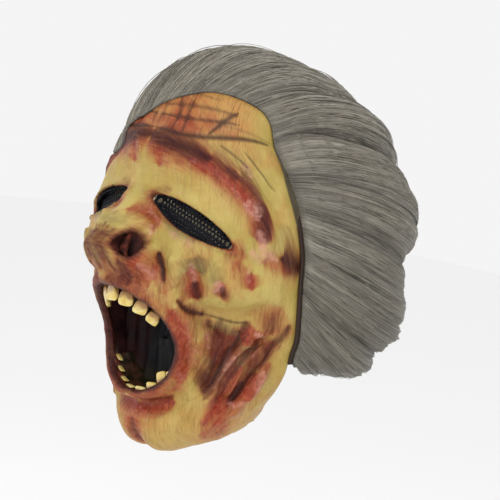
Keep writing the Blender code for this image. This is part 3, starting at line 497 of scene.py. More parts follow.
def on_sheet(flat_x, flat_y):
    """Across and level of a point given in metres on the flat sheet."""
    return flat_x / (HALF_ARC * FACE_HALF_WIDTH), flat_y / FACE_HEIGHT


def ramp(value):
    """Smooth step from 0 to 1."""
    value = np.clip(value, 0.0, 1.0)
    return value * value * (3 - 2 * value)


def unit(vectors):
    """The same directions with a length of 1."""
    return vectors / np.linalg.norm(vectors, axis=-1, keepdims=True)


def signed_power(value, power):
    """A power that keeps the value's sign."""
    return np.sign(value) * np.abs(value) ** power


def over(under, coat):
    """Strength of one coat of paint laid over another."""
    return 1 - (1 - under) * (1 - coat)


def rotated(x, y, degrees):
    """A turn in the flat sheet."""
    cos, sin = math.cos(math.radians(degrees)), math.sin(math.radians(degrees))
    return x * cos - y * sin, x * sin + y * cos


def round_angles(count):
    """Evenly spaced angles of one whole turn."""
    return np.linspace(0, 2 * math.pi, count, endpoint=False)


def strokes(rows, height_unit):
    """Points, breadth, and relief or strength of each stroke in a table of whole numbers."""
    for breadth, height, *path in rows:
        yield np.reshape(path, (-1, 2)) / POINT_UNIT, breadth / BREADTH_UNIT, height / height_unit


def noise(x, y, seed):
    """Smooth noise from -1 to 1 with a period of 1 in x and y, the same for the same seed."""
    table = np.random.default_rng(seed).uniform(-1, 1, (64, 64))
    ix, iy = np.floor(x).astype(int), np.floor(y).astype(int)
    s, t = ramp(x - ix), ramp(y - iy)
    low = table[ix % 64, iy % 64] * (1 - s) + table[(ix + 1) % 64, iy % 64] * s
    high = table[ix % 64, (iy + 1) % 64] * (1 - s) + table[(ix + 1) % 64, (iy + 1) % 64] * s
    return low * (1 - t) + high * t


def opening_radius(name, across, level):
    """Distance from the middle of an opening, 1 on its edge."""
    centre_across, centre_level, half_breadth, half_height, turn, power = OPENINGS[name]
    x, y = laid_flat(np.abs(across) - centre_across, level - centre_level)
    along, up = rotated(x, y, -turn)
    return (
        np.abs(along / (half_breadth * FACE_HALF_WIDTH)) ** power
        + np.abs(up / (half_height * FACE_HEIGHT)) ** power
    ) ** (1 / power)


def opening_edge(name, side, angle, grow=0.0):
    """Across and level of points round the edge of an opening, moved outwards by grow metres."""
    centre_across, centre_level, half_breadth, half_height, turn, power = OPENINGS[name]
    cos, sin = np.cos(angle), np.sin(angle)
    along = signed_power(cos, 2 / power) * (half_breadth * FACE_HALF_WIDTH + grow)
    up = signed_power(sin, 2 / power) * (half_height * FACE_HEIGHT + grow)
    across, level = on_sheet(*rotated(along, up, turn))
    return side * (centre_across + across), centre_level + level


def nose_relief(across, level):
    """Height of the nose above the base face."""
    table = np.array(NOSE)
    _, relief, half_breadth = np.moveaxis(table_at(table, np.clip(level, table[0, 0], table[-1, 0])), -1, 0)
    flat_x, _ = laid_flat(across, level)
    share = np.clip(np.abs(flat_x) / (half_breadth * FACE_HALF_WIDTH), 0.0, 1.0)
    return relief * FACE_REACH * (1 - share**NOSE_RIDGE) ** NOSE_FOOT


def form_relief(across, level, form):
    """Height of one rounded swelling or hollow."""
    centre_across, centre_level, breadth, height, turn, relief, paired = form
    x, y = laid_flat((np.abs(across) if paired else across) - centre_across, level - centre_level)
    along, up = rotated(x, y, -turn)
    along, up = along / (breadth * FACE_HALF_WIDTH), up / (height * FACE_HEIGHT)
    return relief * FACE_REACH * np.exp(-(along**2) - up**2)


def fold_relief(across, level, fold):
    """Height of one bowed fold, on both sides of the face."""
    across_a, level_a, across_b, level_b, bow, breadth, relief = fold
    ax, ay = laid_flat(across_a, level_a)
    bx, by = laid_flat(across_b, level_b)
    length = math.hypot(bx - ax, by - ay)
    ux, uy = (bx - ax) / length, (by - ay) / length
    x, y = laid_flat(np.abs(across), level)
    along = ((x - ax) * ux + (y - ay) * uy) / length
    off = (x - ax) * -uy + (y - ay) * ux - bow * length * 4 * along * (1 - along)
    past = np.maximum(np.abs(along - 0.5) - 0.5, 0.0) * length
    distance = np.hypot(off, past) / (breadth * FACE_HALF_WIDTH)
    return relief * FACE_REACH * np.exp(-(distance**2))


def rim_relief(name, across, level):
    """Height of the raised rim round an opening."""
    reach, relief = RIMS[name]
    outside = opening_radius(name, across, level) - 1.0
    return relief * FACE_REACH * np.exp(-(((outside - reach) / reach) ** 2))


def plain_edge(across, level):
    """1 on the face, fading to 0 on the smooth band that the cap laps over."""
    band_across, band_level = on_sheet(CAP_LAP, CAP_LAP)
    side = ramp((1 - np.abs(across)) / band_across - 1)
    top = ramp((1 - level) / band_level - 1)
    return side * top


def stroke_strength(across, level, points, breadth, crease=False):
    """1 on a smooth line through the points, fading to 0 beside it, on both halves of the face.

    A crease has a sharp foot.
    """
    x, y = laid_flat(np.abs(across), level)
    place = np.linspace(0, 1, len(points))
    fine = np.linspace(0, 1, WRINKLE_STEPS * (len(points) - 1) + 1)
    curve = table_at(np.column_stack([place, points]), fine)[:, 1:]
    line_x, line_y = laid_flat(curve[:, 0], curve[:, 1])
    strength = np.zeros_like(x)
    margin = 3 * breadth
    near = (x > line_x.min() - margin) & (x < line_x.max() + margin)
    near &= (y > line_y.min() - margin) & (y < line_y.max() + margin)
    px, py = x[near], y[near]
    nearest = np.full(px.shape, 1.0)
    share = np.zeros(px.shape)
    for i in range(len(line_x) - 1):
        dx, dy = line_x[i + 1] - line_x[i], line_y[i + 1] - line_y[i]
        t = np.clip(((px - line_x[i]) * dx + (py - line_y[i]) * dy) / (dx * dx + dy * dy), 0, 1)
        distance = np.hypot(px - line_x[i] - t * dx, py - line_y[i] - t * dy)
        closer = distance < nearest
        nearest = np.where(closer, distance, nearest)
        share = np.where(closer, (i + t) / (len(line_x) - 1), share)
    # A stroke thins out towards its ends
    taper = np.sqrt(np.clip(4 * share * (1 - share), 0.0, 1.0)) * 0.8 + 0.2
    away = nearest / (breadth * taper)
    strength[near] = np.exp(-(np.hypot(away, 0.25) - 0.25) * 1.25) if crease else np.exp(-(away**2))
    return strength * np.where(strength > 0.02, 1.0, 0.0)


def broad_relief(across, level):
    """Relief that the solid face has too."""
    relief = nose_relief(across, level)
    for form in FORMS:
        relief = relief + form_relief(across, level, form)
    for fold in FOLDS:
        relief = relief + fold_relief(across, level, fold)
    for name in RIMS:
        relief = relief + rim_relief(name, across, level)
    return relief * plain_edge(across, level)


def fine_relief(across, level):
    """Wrinkles, rolled rims and the unevenness of hand-painted latex."""
    relief = np.zeros_like(across)
    for points, breadth, height in strokes(WRINKLES, BREADTH_UNIT):
        crease = height < 0
        depth = height * (CREASE_SHARE if crease else 1.0)
        relief = relief + depth * stroke_strength(across, level, points, breadth, crease)
    x, y = laid_flat(across, level)
    for i, (depth, breadth, height) in enumerate(UNEVENNESS):
        relief = relief + depth * noise(x / breadth, y / height, SEED + i)
    relief = relief * plain_edge(across, level)
    relief = np.where(relief < 0, -DEEPEST_CREASE * np.tanh(-relief / DEEPEST_CREASE), relief)
    for name, (reach, depth) in LIP_ROLL.items():
        edge = np.clip(1 - (opening_radius(name, across, level) - 1) / reach, 0.0, 1.0)
        relief = relief - depth * (1 - np.sqrt(1 - edge**2 * 0.98))
    return relief


def face_surface(across, level):
    """Outer surface of the latex face, with the relief that the solid has."""
    relief = broad_relief(across, level)
    return base_face(across, level) + facing(base_face, across, level) * relief[..., None]


def face_point(across, level, height):
    """Points at a height above the face's outer surface, negative inside it."""
    return face_surface(across, level) + facing(face_surface, across, level) * np.asarray(height)[..., None]


def face_edge(along):
    """Across and level of the face sheet's edge under the cap, from jaw to jaw over the brow."""
    reach = np.abs(along)
    across = np.sign(along) * np.clip(reach / CORNER_SHARE, 0.0, 1.0)
    down = np.clip((reach - CORNER_SHARE) / (1 - CORNER_SHARE), 0.0, 1.0)
    return across, 1.0 + (JAW_LEVEL - 1.0) * down


def hairline(along):
    """Across and level of the cap's front edge, CAP_LAP inside the face's own edge."""
    across, level = face_edge(along)
    inset_across, inset_level = on_sheet(CAP_LAP, CAP_LAP)
    narrow = 1 - inset_level / (1 - JAW_LEVEL)
    return across * (1 - inset_across), JAW_LEVEL + (level - JAW_LEVEL) * narrow


def oval(direction, half_width, front, back, rise, fall, power, low_power=2.0):
    """Distance from the centre of an egg shape to its surface, along unit directions."""
    x, y, z = np.moveaxis(direction, -1, 0)
    depth = np.where(y < 0, front, back)
    height = np.where(z > 0, rise, fall)
    round_about = (np.abs(x / half_width) ** power + np.abs(y / depth) ** power) ** (2 / power)
    upright = np.where(z < 0, low_power, 2.0)
    return (round_about ** (upright / 2) + np.abs(z / height) ** upright) ** (-1 / upright)


def turned(start, end, share):
    """Unit directions on the way from start to end."""
    angle = np.arccos(np.clip((start * end).sum(-1, keepdims=True), -1, 1))
    share = share[..., None]
    return (np.sin((1 - share) * angle) * start + np.sin(share * angle) * end) / np.sin(angle)


def seam_direction(along):
    """Unit directions from the head's middle to the seam that runs down the back of the head."""
    angle = np.radians(SEAM_TOP_DEG + (SEAM_FOOT_DEG - SEAM_TOP_DEG) * np.abs(along))
    return np.stack([np.zeros_like(angle), np.cos(angle), np.sin(angle)], -1)


def domed(edge, along, share, lift):
    """Points on the way from the edge round the head to the back seam, lift metres over the cap's dome."""
    way = edge - HEAD_CENTRE
    start = np.linalg.norm(way, axis=-1)
    direction = turned(way / start[..., None], seam_direction(along), share)
    dome = oval(direction, *CAP_OVAL) + lift
    radius = start + (dome - start) * ramp(share / DOME_SHARE)
    return HEAD_CENTRE + direction * radius[..., None]


def cap_surface(along, back):
    """Inner surface of the cap: over the face's edge first, then round the head to the back seam."""
    at_edge = face_point(*face_edge(along), CAP_SEAT)
    on_face = face_point(*hairline(along), CAP_SEAT)
    round_head = domed(at_edge, along, np.clip((back - LAP_SHARE) / (1 - LAP_SHARE), 0.0, 1.0), 0.0)
    lapped = on_face + (at_edge - on_face) * np.clip(back / LAP_SHARE, 0.0, 1.0)[..., None]
    return np.where((back < LAP_SHARE)[..., None], lapped, round_head)


def cap_point(along, back, height):
    """Points at a height above the cap's inner surface."""
    step = 2e-3
    lo_a, hi_a = np.clip(along - step, -1, 1), np.clip(along + step, -1, 1)
    lo_b, hi_b = np.clip(back - step, 0, 1 - 1e-4), np.clip(back + step, 0, 1)
    # At the seam the two halves of a row meet, so the slope along it is read a little before it
    near = np.minimum(back, 1 - 2e-2)
    along_rows = cap_surface(hi_a, near) - cap_surface(lo_a, near)
    up_columns = cap_surface(along, hi_b) - cap_surface(along, lo_b)
    return cap_surface(along, back) + unit(np.cross(along_rows, up_columns)) * height


def linked(name, data):
    """An object of the scene that holds the data."""
    obj = bpy.data.objects.new(name, data)
    bpy.context.scene.collection.objects.link(obj)
    return obj


def new_object(name, points, faces, *looks):
    """A smooth mesh object from points, faces and materials."""
    mesh = bpy.data.meshes.new(name)
    points = np.asarray(points, np.float32)
    faces = np.asarray(faces, np.int32)
    mesh.vertices.add(len(points))
    mesh.vertices.foreach_set("co", points.ravel())
    sides = faces.shape[1]
    mesh.loops.add(faces.size)
    mesh.loops.foreach_set("vertex_index", faces.ravel())
    mesh.polygons.add(len(faces))
    mesh.polygons.foreach_set("loop_start", np.arange(0, faces.size, sides, dtype=np.int32))
    mesh.update(calc_edges=True)
    mesh.validate()
    mesh.shade_smooth()
    for look in looks:
        mesh.materials.append(look)
    return linked(name, mesh)


def add_wall(piece, thickness, offset=-1.0):
    """Thickness for a sheet: on its back with an offset of -1, on its front with 1."""
    wall = piece.modifiers.new("wall", "SOLIDIFY")
    wall.thickness = thickness
    wall.offset = offset
    return wall


def set_attribute(obj, name, values):
    """A number, or a colour, kept at each point of the mesh."""
    values = np.asarray(values, np.float32)
    if values.ndim == 1:
        layer = obj.data.attributes.new(name, "FLOAT", "POINT")
        layer.data.foreach_set("value", values)
        return
    if values.shape[1] == 3:
        values = np.concatenate([values, np.ones((len(values), 1), np.float32)], axis=1)
    layer = obj.data.attributes.new(name, "FLOAT_COLOR", "POINT")
    layer.data.foreach_set("color", values.ravel())


def grid_faces(index):
    """Quads of a grid of point numbers."""
    corners = (index[:-1, :-1], index[:-1, 1:], index[1:, 1:], index[1:, :-1])
    return np.stack(corners, -1).reshape(-1, 4)


def grid_index(rows, columns):
    """Numbers of a grid's points, row by row."""
    return np.arange((rows + 1) * (columns + 1)).reshape(rows + 1, columns + 1)


def ring_index(rings, columns):
    """Numbers of points in closed rings, with the first column again at the end."""
    index = grid_index(rings - 1, columns - 1)
    return np.concatenate([index, index[:, :1]], axis=1)


def seamed_index(rows, columns):
    """Numbers of a grid whose last row is folded on itself, so that its two halves meet in a seam."""
    index = grid_index(rows, columns)
    middle = columns // 2
    index[-1, middle + 1 :] = index[-1, middle - 1 :: -1]
    return index


class Look:
    """A material under construction: short calls add nodes and join them."""

    def __init__(self, name, roughness, **constants):
        self.material = bpy.data.materials.new(name)
        self.material.use_nodes = True
        self.tree = self.material.node_tree
        self.shader = self.tree.nodes["Principled BSDF"]
        self.shader.inputs["Roughness"].default_value = roughness
        for socket, value in constants.items():
            self.shader.inputs[socket.replace("_", " ")].default_value = value

    def put(self, value, socket):
        """Sets a socket to a number or a colour, or joins it to another node's output."""
        if isinstance(value, bpy.types.NodeSocket):
            self.tree.links.new(value, socket)
        elif socket.type == "RGBA":
            socket.default_value = (*value, 1.0)
        else:
            socket.default_value = value

    def node(self, kind, inputs, **settings):
        """The outputs of a new node, with its settings and what goes into its sockets."""
        node = self.tree.nodes.new("ShaderNode" + kind)
        for name, value in settings.items():
            setattr(node, name, value)
        for socket, value in inputs.items():
            self.put(value, node.inputs[socket])
        return node.outputs

    def attribute(self, name, output="Fac"):
        return self.node("Attribute", {}, attribute_name=name)[output]

    def parts(self, name):
        """The three numbers that are kept as one colour at each point."""
        return self.node("SeparateColor", {0: self.attribute(name, "Color")})[:3]

    def place(self):
        """Coordinates of the object, in metres."""
        return self.node("TexCoord", {})["Object"]

    def uv(self):
        """The map named comb: metres on the flat sheet, or shares along and back on the wig."""
        return self.node("UVMap", {}, uv_map="comb")["UV"]

    def stretched(self, vector, scale):
        return self.node("VectorMath", {0: vector, 1: scale}, operation="MULTIPLY")[0]

    def noise(self, vector, scale, detail=3.0, distortion=0.0):
        inputs = {"Vector": vector, "Scale": scale, "Detail": detail, "Distortion": distortion}
        return self.node("TexNoise", inputs)["Fac"]

    def cells(self, vector, scale):
        return self.node("TexVoronoi", {"Vector": vector, "Scale": scale})["Distance"]

    def math(self, operation, first, second=0.0, clamp=False):
        return self.node("Math", {0: first, 1: second}, operation=operation, use_clamp=clamp)[0]

    def times(self, first, second):
        return self.math("MULTIPLY", first, second)

    def plus(self, first, second):
        return self.math("ADD", first, second)

    def span(self, value, low, high, to_low=0.0, to_high=1.0):
        """The value moved from one range to another, smoothly and held at its ends."""
        inputs = dict(enumerate((value, low, high, to_low, to_high)))
        return self.node("MapRange", inputs, interpolation_type="SMOOTHSTEP")[0]

    def mix(self, factor, first, second):
        """The first colour, gone over to the second by the factor."""
        return self.node("Mix", {0: factor, 6: first, 7: second}, data_type="RGBA")[2]

    def bump(self, height, depth, strength=1.0, under=None):
        inputs = {"Strength": strength, "Distance": depth, "Height": height}
        if under is not None:
            inputs["Normal"] = under
        return self.node("Bump", inputs)[0]

    def finish(self, colour=None, roughness=None, normal=None):
        """Joins what was made to the shader and returns the material."""
        for source, name in ((colour, "Base Color"), (roughness, "Roughness"), (normal, "Normal")):
            if source is not None:
                self.put(source, self.shader.inputs[name])
        return self.material


def latex_look():
    """Painted latex: ochre skin with airbrushed reds, maroon hollows, brown lines and pink painted highlights
    where it shines wet.
    """
    look = Look("painted_latex", 0.4, Coat_Weight=0.03, Coat_Roughness=0.3, Specular_IOR_Level=0.22)
    place = look.place()
    sheet = look.uv()
    broad = look.noise(place, 28.0, 3.0)
    mottle = look.noise(place, 95.0, 4.0, 0.6)
    speck = look.noise(place, 260.0, 3.0, 0.5)
    grain = look.noise(place, 420.0, 3.0)
    streak = look.noise(look.stretched(sheet, (620.0, 90.0, 1.0)), 1.0, 3.0, 0.8)
    swirl = look.attribute("swirl", "Vector")
    brushed = look.noise(look.stretched(swirl, (700.0, 110.0, 1.0)), 1.0, 4.0, 0.6)
    swept = look.noise(look.stretched(swirl, (230.0, 60.0, 1.0)), 1.0, 3.0, 0.5)
    brushed = look.plus(look.times(brushed, 0.55), look.times(swept, 0.45))
    red, maroon, line = look.parts("paint")
    # pink carries the painted highlights
    pink, olive, tan = look.parts("tint")

    def broken(mask, low, high, amount, by):
        """A mask whose soft edge is broken up by a noise."""
        shaken = look.plus(mask, look.times(look.math("SUBTRACT", by, 0.5), amount))
        return look.times(look.span(shaken, low, high), look.span(mask, 0.0, 0.12))

    colour = look.mix(look.span(broad, 0.35, 0.65), *OCHRE)
    colour = look.mix(look.span(mottle, 0.50, 0.75, 0.0, 0.35), colour, MOTTLE)
    blotch = look.noise(place, 52.0, 4.0, 0.4)
    colour = look.mix(look.span(blotch, 0.48, 0.72, 0.0, 0.55), colour, BLOTCH)
    tanned = look.times(tan, look.span(mottle, 0.25, 0.75, 0.6, 1.0))
    colour = look.mix(tanned, colour, TAN)
    colour = look.mix(broken(olive, 0.05, 1.05, 0.9, brushed), colour, OLIVE)
    colour = look.mix(broken(red, 0.05, 1.08, 0.9, brushed), colour, RED)
    blush = look.times(look.times(red, look.span(speck, 0.48, 0.66)), 0.38)
    colour = look.mix(blush, colour, BLUSH)
    colour = look.mix(broken(maroon, 0.06, 1.20, 1.0, brushed), colour, MAROON)
    # Painted highlight: the pink, broken into flecks
    highlight_flecks = look.times(broken(pink, 0.10, 1.00, 1.1, brushed), look.span(speck, 0.36, 0.62, 0.30, 0.85))
    colour = look.mix(look.times(highlight_flecks, 0.8), colour, PINK_HIGHLIGHT)
    colour = look.mix(broken(line, 0.08, 1.20, 0.5, brushed), colour, BROWN_LINE)
    worn = look.plus(look.times(look.math("MAXIMUM", red, tan), 0.45), 0.06)
    colour = look.mix(look.times(look.span(streak, 0.52, 0.66), worn), colour, STREAK)
    wet = look.math("MAXIMUM", pink, look.times(red, 0.4))
    dull = look.plus(look.span(grain, 0.3, 0.7, 0.40, 0.56), look.times(maroon, 0.22))
    roughness = look.math("SUBTRACT", dull, look.times(wet, 0.22), clamp=True)
    skin = None
    pores = look.cells(place, 330.0)
    for height, (depth, strength) in zip((mottle, brushed, streak, grain, pores), SKIN_BUMPS):
        skin = look.bump(height, depth, strength, skin)
    return look.finish(colour, roughness, skin)


def raw_latex_look():
    """The unpainted inside of the face: cream latex with brush marks."""
    look = Look("raw_latex", 0.55)
    place = look.place()
    broad = look.noise(place, 40.0, 4.0)
    colour = look.mix(broad, *BARE_CREAMS)
    return look.finish(colour, None, look.bump(look.noise(place, 150.0, 3.0), 0.001, 0.4))


def opened_grid(across, level, grow):
    """Moves the grid's points onto the openings' edges, each grown by its factor.

    It also says which points lie inside an opening.
    """
    across, level = across.copy(), level.copy()
    inside = np.zeros(across.shape, bool)
    for name, (centre_across, centre_level, *_) in OPENINGS.items():
        radius = opening_radius(name, across, level) / grow.get(name, 1.0)
        side = np.where(across < 0, -1.0, 1.0) if centre_across else np.ones_like(across)
        middle = centre_across * side
        inner = radius < 1.0
        # A point is drawn to the edge when a neighbour lies on the other side of it
        near = np.zeros_like(inner)
        for step in ((0, 1), (0, -1), (1, 0), (-1, 0), (1, 1), (1, -1), (-1, 1), (-1, -1)):
            near |= np.roll(inner, step, (0, 1)) != inner
        snapped = near & ~inner
        pull = np.where(snapped, 1.0 / radius, 1.0)
        across = middle + (across - middle) * pull
        level = centre_level + (level - centre_level) * pull
        inside |= inner
    return across, level, inside


def painted(rows, across, level, wider=1.0, share=1.0):
    """Strength of a colour laid on in strokes, the second over the first as paint is."""
    bare = np.ones_like(across)
    for points, breadth, strength in strokes(rows, STRENGTH_UNIT):
        bare *= 1 - share * strength * stroke_strength(across, level, points, breadth * wider)
    return 1 - bare


def opened_sheet(columns, rows, grow):
    """Across and level of a grid over the face, and its quads, less the openings and what the hair covers."""
    step = signed_power(np.linspace(-1, 1, columns + 1), 1.15)
    grid_across, grid_level = np.meshgrid(step, np.linspace(0, SHEET_TOP, rows + 1))
    across, level, inside = opened_grid(grid_across, grid_level, grow)
    quads = grid_faces(grid_index(rows, columns))
    under_hair = level > np.interp(across, HAIRLINE_SPOTS[:, 0], HAIRLINE_SPOTS[:, 1]) + SHEET_TUCK
    quads = quads[~inside.ravel()[quads].any(axis=1) & ~under_hair.ravel()[quads].all(axis=1)]
    used, quads = np.unique(quads, return_inverse=True)
    return across.ravel()[used], level.ravel()[used], quads.reshape(-1, 4)


def free_edges(quads):
    """The edges that only one quad has, each in that quad's direction."""
    edges = np.concatenate([quads[:, [i, (i + 1) % 4]] for i in range(4)])
    _, first, count = np.unique(np.sort(edges, axis=1), axis=0, return_index=True, return_counts=True)
    return edges[first[count == 1]]


def face_paint(across, level):
    """Strength of each colour of paint at points of the face."""
    masks = {name: painted(rows, across, level, PAINT_SPREAD[name]) for name, rows in PAINT.items()}
    red_halo = painted(PAINT["maroon"], across, level, 2.3, 0.60)
    masks["red"] = over(masks["red"], red_halo)
    tan_halo = painted(PAINT["red"] + PAINT["maroon"], across, level, 2.8, 0.55)
    for name, colours in RIM_PAINT.items():
        outside = opening_radius(name, across, level) - 1
        for colour, (reach, strength) in colours.items():
            if name == "mouth":
                reach = reach * (1 - MOUTH_THINNING * (1 - ramp(np.abs(across) / MOUTH_CORNER)))
            laid = np.minimum(strength * np.exp(-((outside / reach) ** 2)), 1.0)
            masks[colour] = over(masks[colour], laid)
    tan = ramp((level - TAN_START) / (TAN_FULL - TAN_START)) * (1 - ramp((np.abs(across) - 0.55) / 0.35))
    masks["tan"] = 1 - (1 - tan) * (1 - 0.8 * tan_halo) * (1 - CHIN_TAN * ramp((0.30 - level) / 0.15))
    return masks


def make_face():
    """The latex face: a fine painted skin, its wall at the edges and a coarser bare inside, in one piece."""
    across, level, skin = opened_sheet(FACE_COLUMNS, FACE_ROWS, {})
    outer = face_point(across, level, fine_relief(across, level))
    edges = free_edges(skin)
    rim, at = np.unique(edges, return_inverse=True)
    at = at.reshape(-1, 2) + len(outer)
    wall = np.column_stack([edges[:, 1], edges[:, 0], at[:, 0], at[:, 1]])
    rim_points = face_point(across[rim], level[rim], np.full(len(rim), -LATEX_WALL))
    inner_across, inner_level, inside = opened_sheet(INNER_COLUMNS, INNER_ROWS, INNER_GROW)
    inner = face_point(inner_across, inner_level, np.full(len(inner_across), -LATEX_WALL))
    lip_back = opening_radius("mouth", inner_across, inner_level) < LIP_BACK
    painted_back = lip_back[inside].all(axis=1)
    inside = inside[:, ::-1] + len(outer) + len(rim_points)
    all_across = np.concatenate([across, across[rim], inner_across])
    all_level = np.concatenate([level, level[rim], inner_level])
    points, faces = np.concatenate([outer, rim_points, inner]), np.concatenate([skin, wall, inside])
    face = new_object("latex_face", points, faces, latex_look(), raw_latex_look())
    bare = np.zeros(len(face.data.polygons), np.int32)
    bare[-len(inside):] = ~painted_back
    face.data.polygons.foreach_set("material_index", bare)
    masks = face_paint(all_across, all_level)
    # Dark maroon behind the lips: lip paint carried inwards, and painted shade inside the mouth
    masks["maroon"][-len(lip_back):] = np.maximum(masks["maroon"][-len(lip_back):], lip_back)
    flat_x, flat_y = laid_flat(all_across, all_level)
    add_uv(face, flat_x, flat_y)
    set_attribute(face, "paint", np.column_stack([masks["red"], masks["maroon"], masks["line"]]))
    set_attribute(face, "tint", np.column_stack([masks["pink"], masks["olive"], masks["tan"]]))
    middle_x, middle_y = laid_flat(*SWIRL_MIDDLE)
    away_x, away_y = np.abs(flat_x) - middle_x, flat_y - middle_y
    turn = SWIRL_STRETCH * np.arctan2(away_x, away_y)
    set_attribute(face, "swirl", np.column_stack([np.hypot(away_x, away_y), turn, np.zeros(len(turn))]))
    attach(face, "root")
    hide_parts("face")


def make_camera():
    """The photograph's camera, with no shift and no depth of field."""
    azimuth, elevation, roll = map(math.radians, (VIEW_AZIMUTH, VIEW_ELEVATION, VIEW_ROLL))
    back = Vector((
        math.sin(azimuth) * math.cos(elevation), -math.cos(azimuth) * math.cos(elevation), math.sin(elevation)
    ))
    right = Vector((math.cos(azimuth), math.sin(azimuth), 0.0))
    up = back.cross(right)
    turned_right = right * math.cos(roll) + up * math.sin(roll)
    turned_up = up * math.cos(roll) - right * math.sin(roll)
    pixels_per_metre = PICTURE * LENS / SENSOR / VIEW_DISTANCE
    aside = turned_right * (TARGET_PIXEL[0] - PICTURE / 2) / pixels_per_metre
    below = turned_up * (TARGET_PIXEL[1] - PICTURE / 2) / pixels_per_metre
    data = bpy.data.cameras.new("camera")
    data.lens, data.sensor_width = LENS, SENSOR
    camera = linked("camera", data)
    turn = Matrix((turned_right, turned_up, back)).transposed().to_4x4()
    camera.matrix_world = Matrix.Translation(VIEW_TARGET + back * VIEW_DISTANCE - aside + below) @ turn
    bpy.context.scene.camera = camera


def make_stage():
    """A pale floor well below the mask, a white surround and three soft lamps."""
    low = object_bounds()[0]
    corners = np.array([(-1, -1, 0), (1, -1, 0), (1, 1, 0), (-1, 1, 0)]) * FLOOR_SIZE
    floor = new_object("floor", corners, [(0, 1, 2, 3)], Look("floor_paint", 0.9).finish(FLOOR_COLOUR))
    floor.location.z = low[2] - FLOOR_DROP
    world = bpy.data.worlds.new("surround")
    world.use_nodes = True
    background = world.node_tree.nodes["Background"].inputs
    background["Color"].default_value = (1.0, 1.0, 1.0, 1.0)
    background["Strength"].default_value = SURROUND_STRENGTH
    bpy.context.scene.world = world
    for name, place, size, power in LAMPS:
        light = bpy.data.lights.new(name, "AREA")
        light.shape = "DISK"
        light.size = size
        light.energy = power
        lamp = linked(name, light)
        lamp.location = place
        lamp.rotation_euler = (VIEW_TARGET - Vector(place)).to_track_quat("-Z", "Y").to_euler()
    bpy.context.scene.view_settings.view_transform = "Standard"


def hair_front(along):
    """The hairline: where the hair leaves the skin and the cap's edge."""
    table = np.array(HAIRLINE)
    across, level = np.moveaxis(table_at(table, along)[..., 1:], -1, 0)
    on_cap = ramp((np.abs(along) - ON_CAP_START) / ON_CAP_FADE)
    return face_point(np.clip(across, -1, 1), level, ROOT_HEIGHT + (CAP_SEAT + CAP_WALL) * on_cap)


def hair_base(along, back):
    """The surface that the hair lies on, from the hairline round the head to the back seam."""
    return domed(hair_front(along), along, back, CAP_WALL + WIG_SEAT)


def lock_crest(along, back):
    """Height of the combed locks, 0 to 1: wide ones as the solid has them, each split into finer ones."""
    wander = 0.10 * noise(along * 9.0, back * 2.5, SEED + 3)
    wander = wander + 0.05 * noise(along * 21.0, back * 4.0, SEED + 4)
    wide = np.abs(np.cos((along * LOCKS / 2 + wander) * math.pi)) ** CREST_POWER
    split = np.abs(np.cos((along * LOCKS * 1.7 + 2.2 * wander) * math.pi)) ** 0.6
    fine = np.abs(np.cos((along * LOCKS * 4.1 + 4.0 * wander) * math.pi)) ** 0.9
    return wide, split, fine


def lock_gap_shade(crests, narrowings, weights):
    """Painted shade between the locks, 0 on their crests."""
    parts = zip(crests, narrowings, weights)
    return sum(np.clip(1 - crest * narrow, 0, 1) * weight for crest, narrow, weight in parts)


def hair_surface(along, back, lift=0.0):
    """Outer form of the hair: locks that rise from the hairline and meet at the back seam."""
    base = hair_base(along, back)
    way = base - HAIR_CENTRE
    near = np.linalg.norm(way, axis=-1)
    direction = way / near[..., None]
    far = oval(direction, *HAIR_OVAL)
    wide, split, fine = lock_crest(along, back)
    dip = SEAM_DIP * ramp((back - SEAM_DIP_START) / (1 - SEAM_DIP_START))
    rise = np.clip(back / HAIR_RISE_SHARE, 0.0, 1.0)
    fullness = (1 - (1 - rise) ** 2.4) * (1 - dip)
    rim = ramp((np.abs(along) - HEM_START) / (1 - HEM_START))
    locks = LOCK_DEPTH * (wide - CREST_MEAN) * (1 - rim) * (0.6 + 0.7 * ramp(back / 0.5))
    far = far * (1 - HEM_TUCK * rim) + locks
    root = near + HAIR_TUCK
    radius = root + np.maximum(far - root, LEAST_HAIR) * fullness
    finer = SPLIT_DEPTH * (split - CREST_MEAN) + FINE_DEPTH * (fine - CREST_MEAN)
    radius = radius + fullness * (1 - rim) * finer + lift
    return HAIR_CENTRE + direction * radius[..., None]


def hair_look():
    """Grey fibre: fine strands drawn along the combing, with painted shade in the gaps between the locks."""
    look = Look("grey_fibre", 0.42)
    shade, gap_shade, tint = look.parts("strand")
    comb = look.uv()
    fine = look.noise(look.stretched(comb, (1500.0, 7.0, 1.0)), 1.0, 2.0, 0.3)
    medium = look.noise(look.stretched(comb, (420.0, 4.0, 1.0)), 1.0, 2.0, 0.4)
    broad = look.noise(look.stretched(comb, (70.0, 2.0, 1.0)), 1.0, 2.0)
    value = look.plus(look.times(fine, 0.45), look.times(medium, 0.40))
    value = look.plus(value, look.times(shade, 0.30))
    colour = look.mix(look.span(value, 0.36, 0.78), *HAIR_GREYS)
    colour = look.mix(look.span(broad, 0.40, 0.62, 0.0, 0.35), colour, (0.215, 0.185, 0.165))
    colour = look.mix(look.times(tint, 0.5), colour, (0.230, 0.170, 0.120))
    # Painted shade in the gaps between the locks
    colour = look.mix(look.times(gap_shade, 0.62), colour, (0.040, 0.032, 0.024))
    rough = look.bump(look.plus(fine, medium), 0.0009, 0.9)
    return look.finish(colour, look.span(fine, 0.3, 0.7, 0.36, 0.55), rough)


def add_uv(obj, u, v):
    """A UV map named comb from the values at each point."""
    corners = np.empty(len(obj.data.loops), np.int32)
    obj.data.loops.foreach_get("vertex_index", corners)
    layer = obj.data.uv_layers.new(name="comb")
    layer.data.foreach_set("uv", np.column_stack([u, v])[corners].astype(np.float32).ravel())


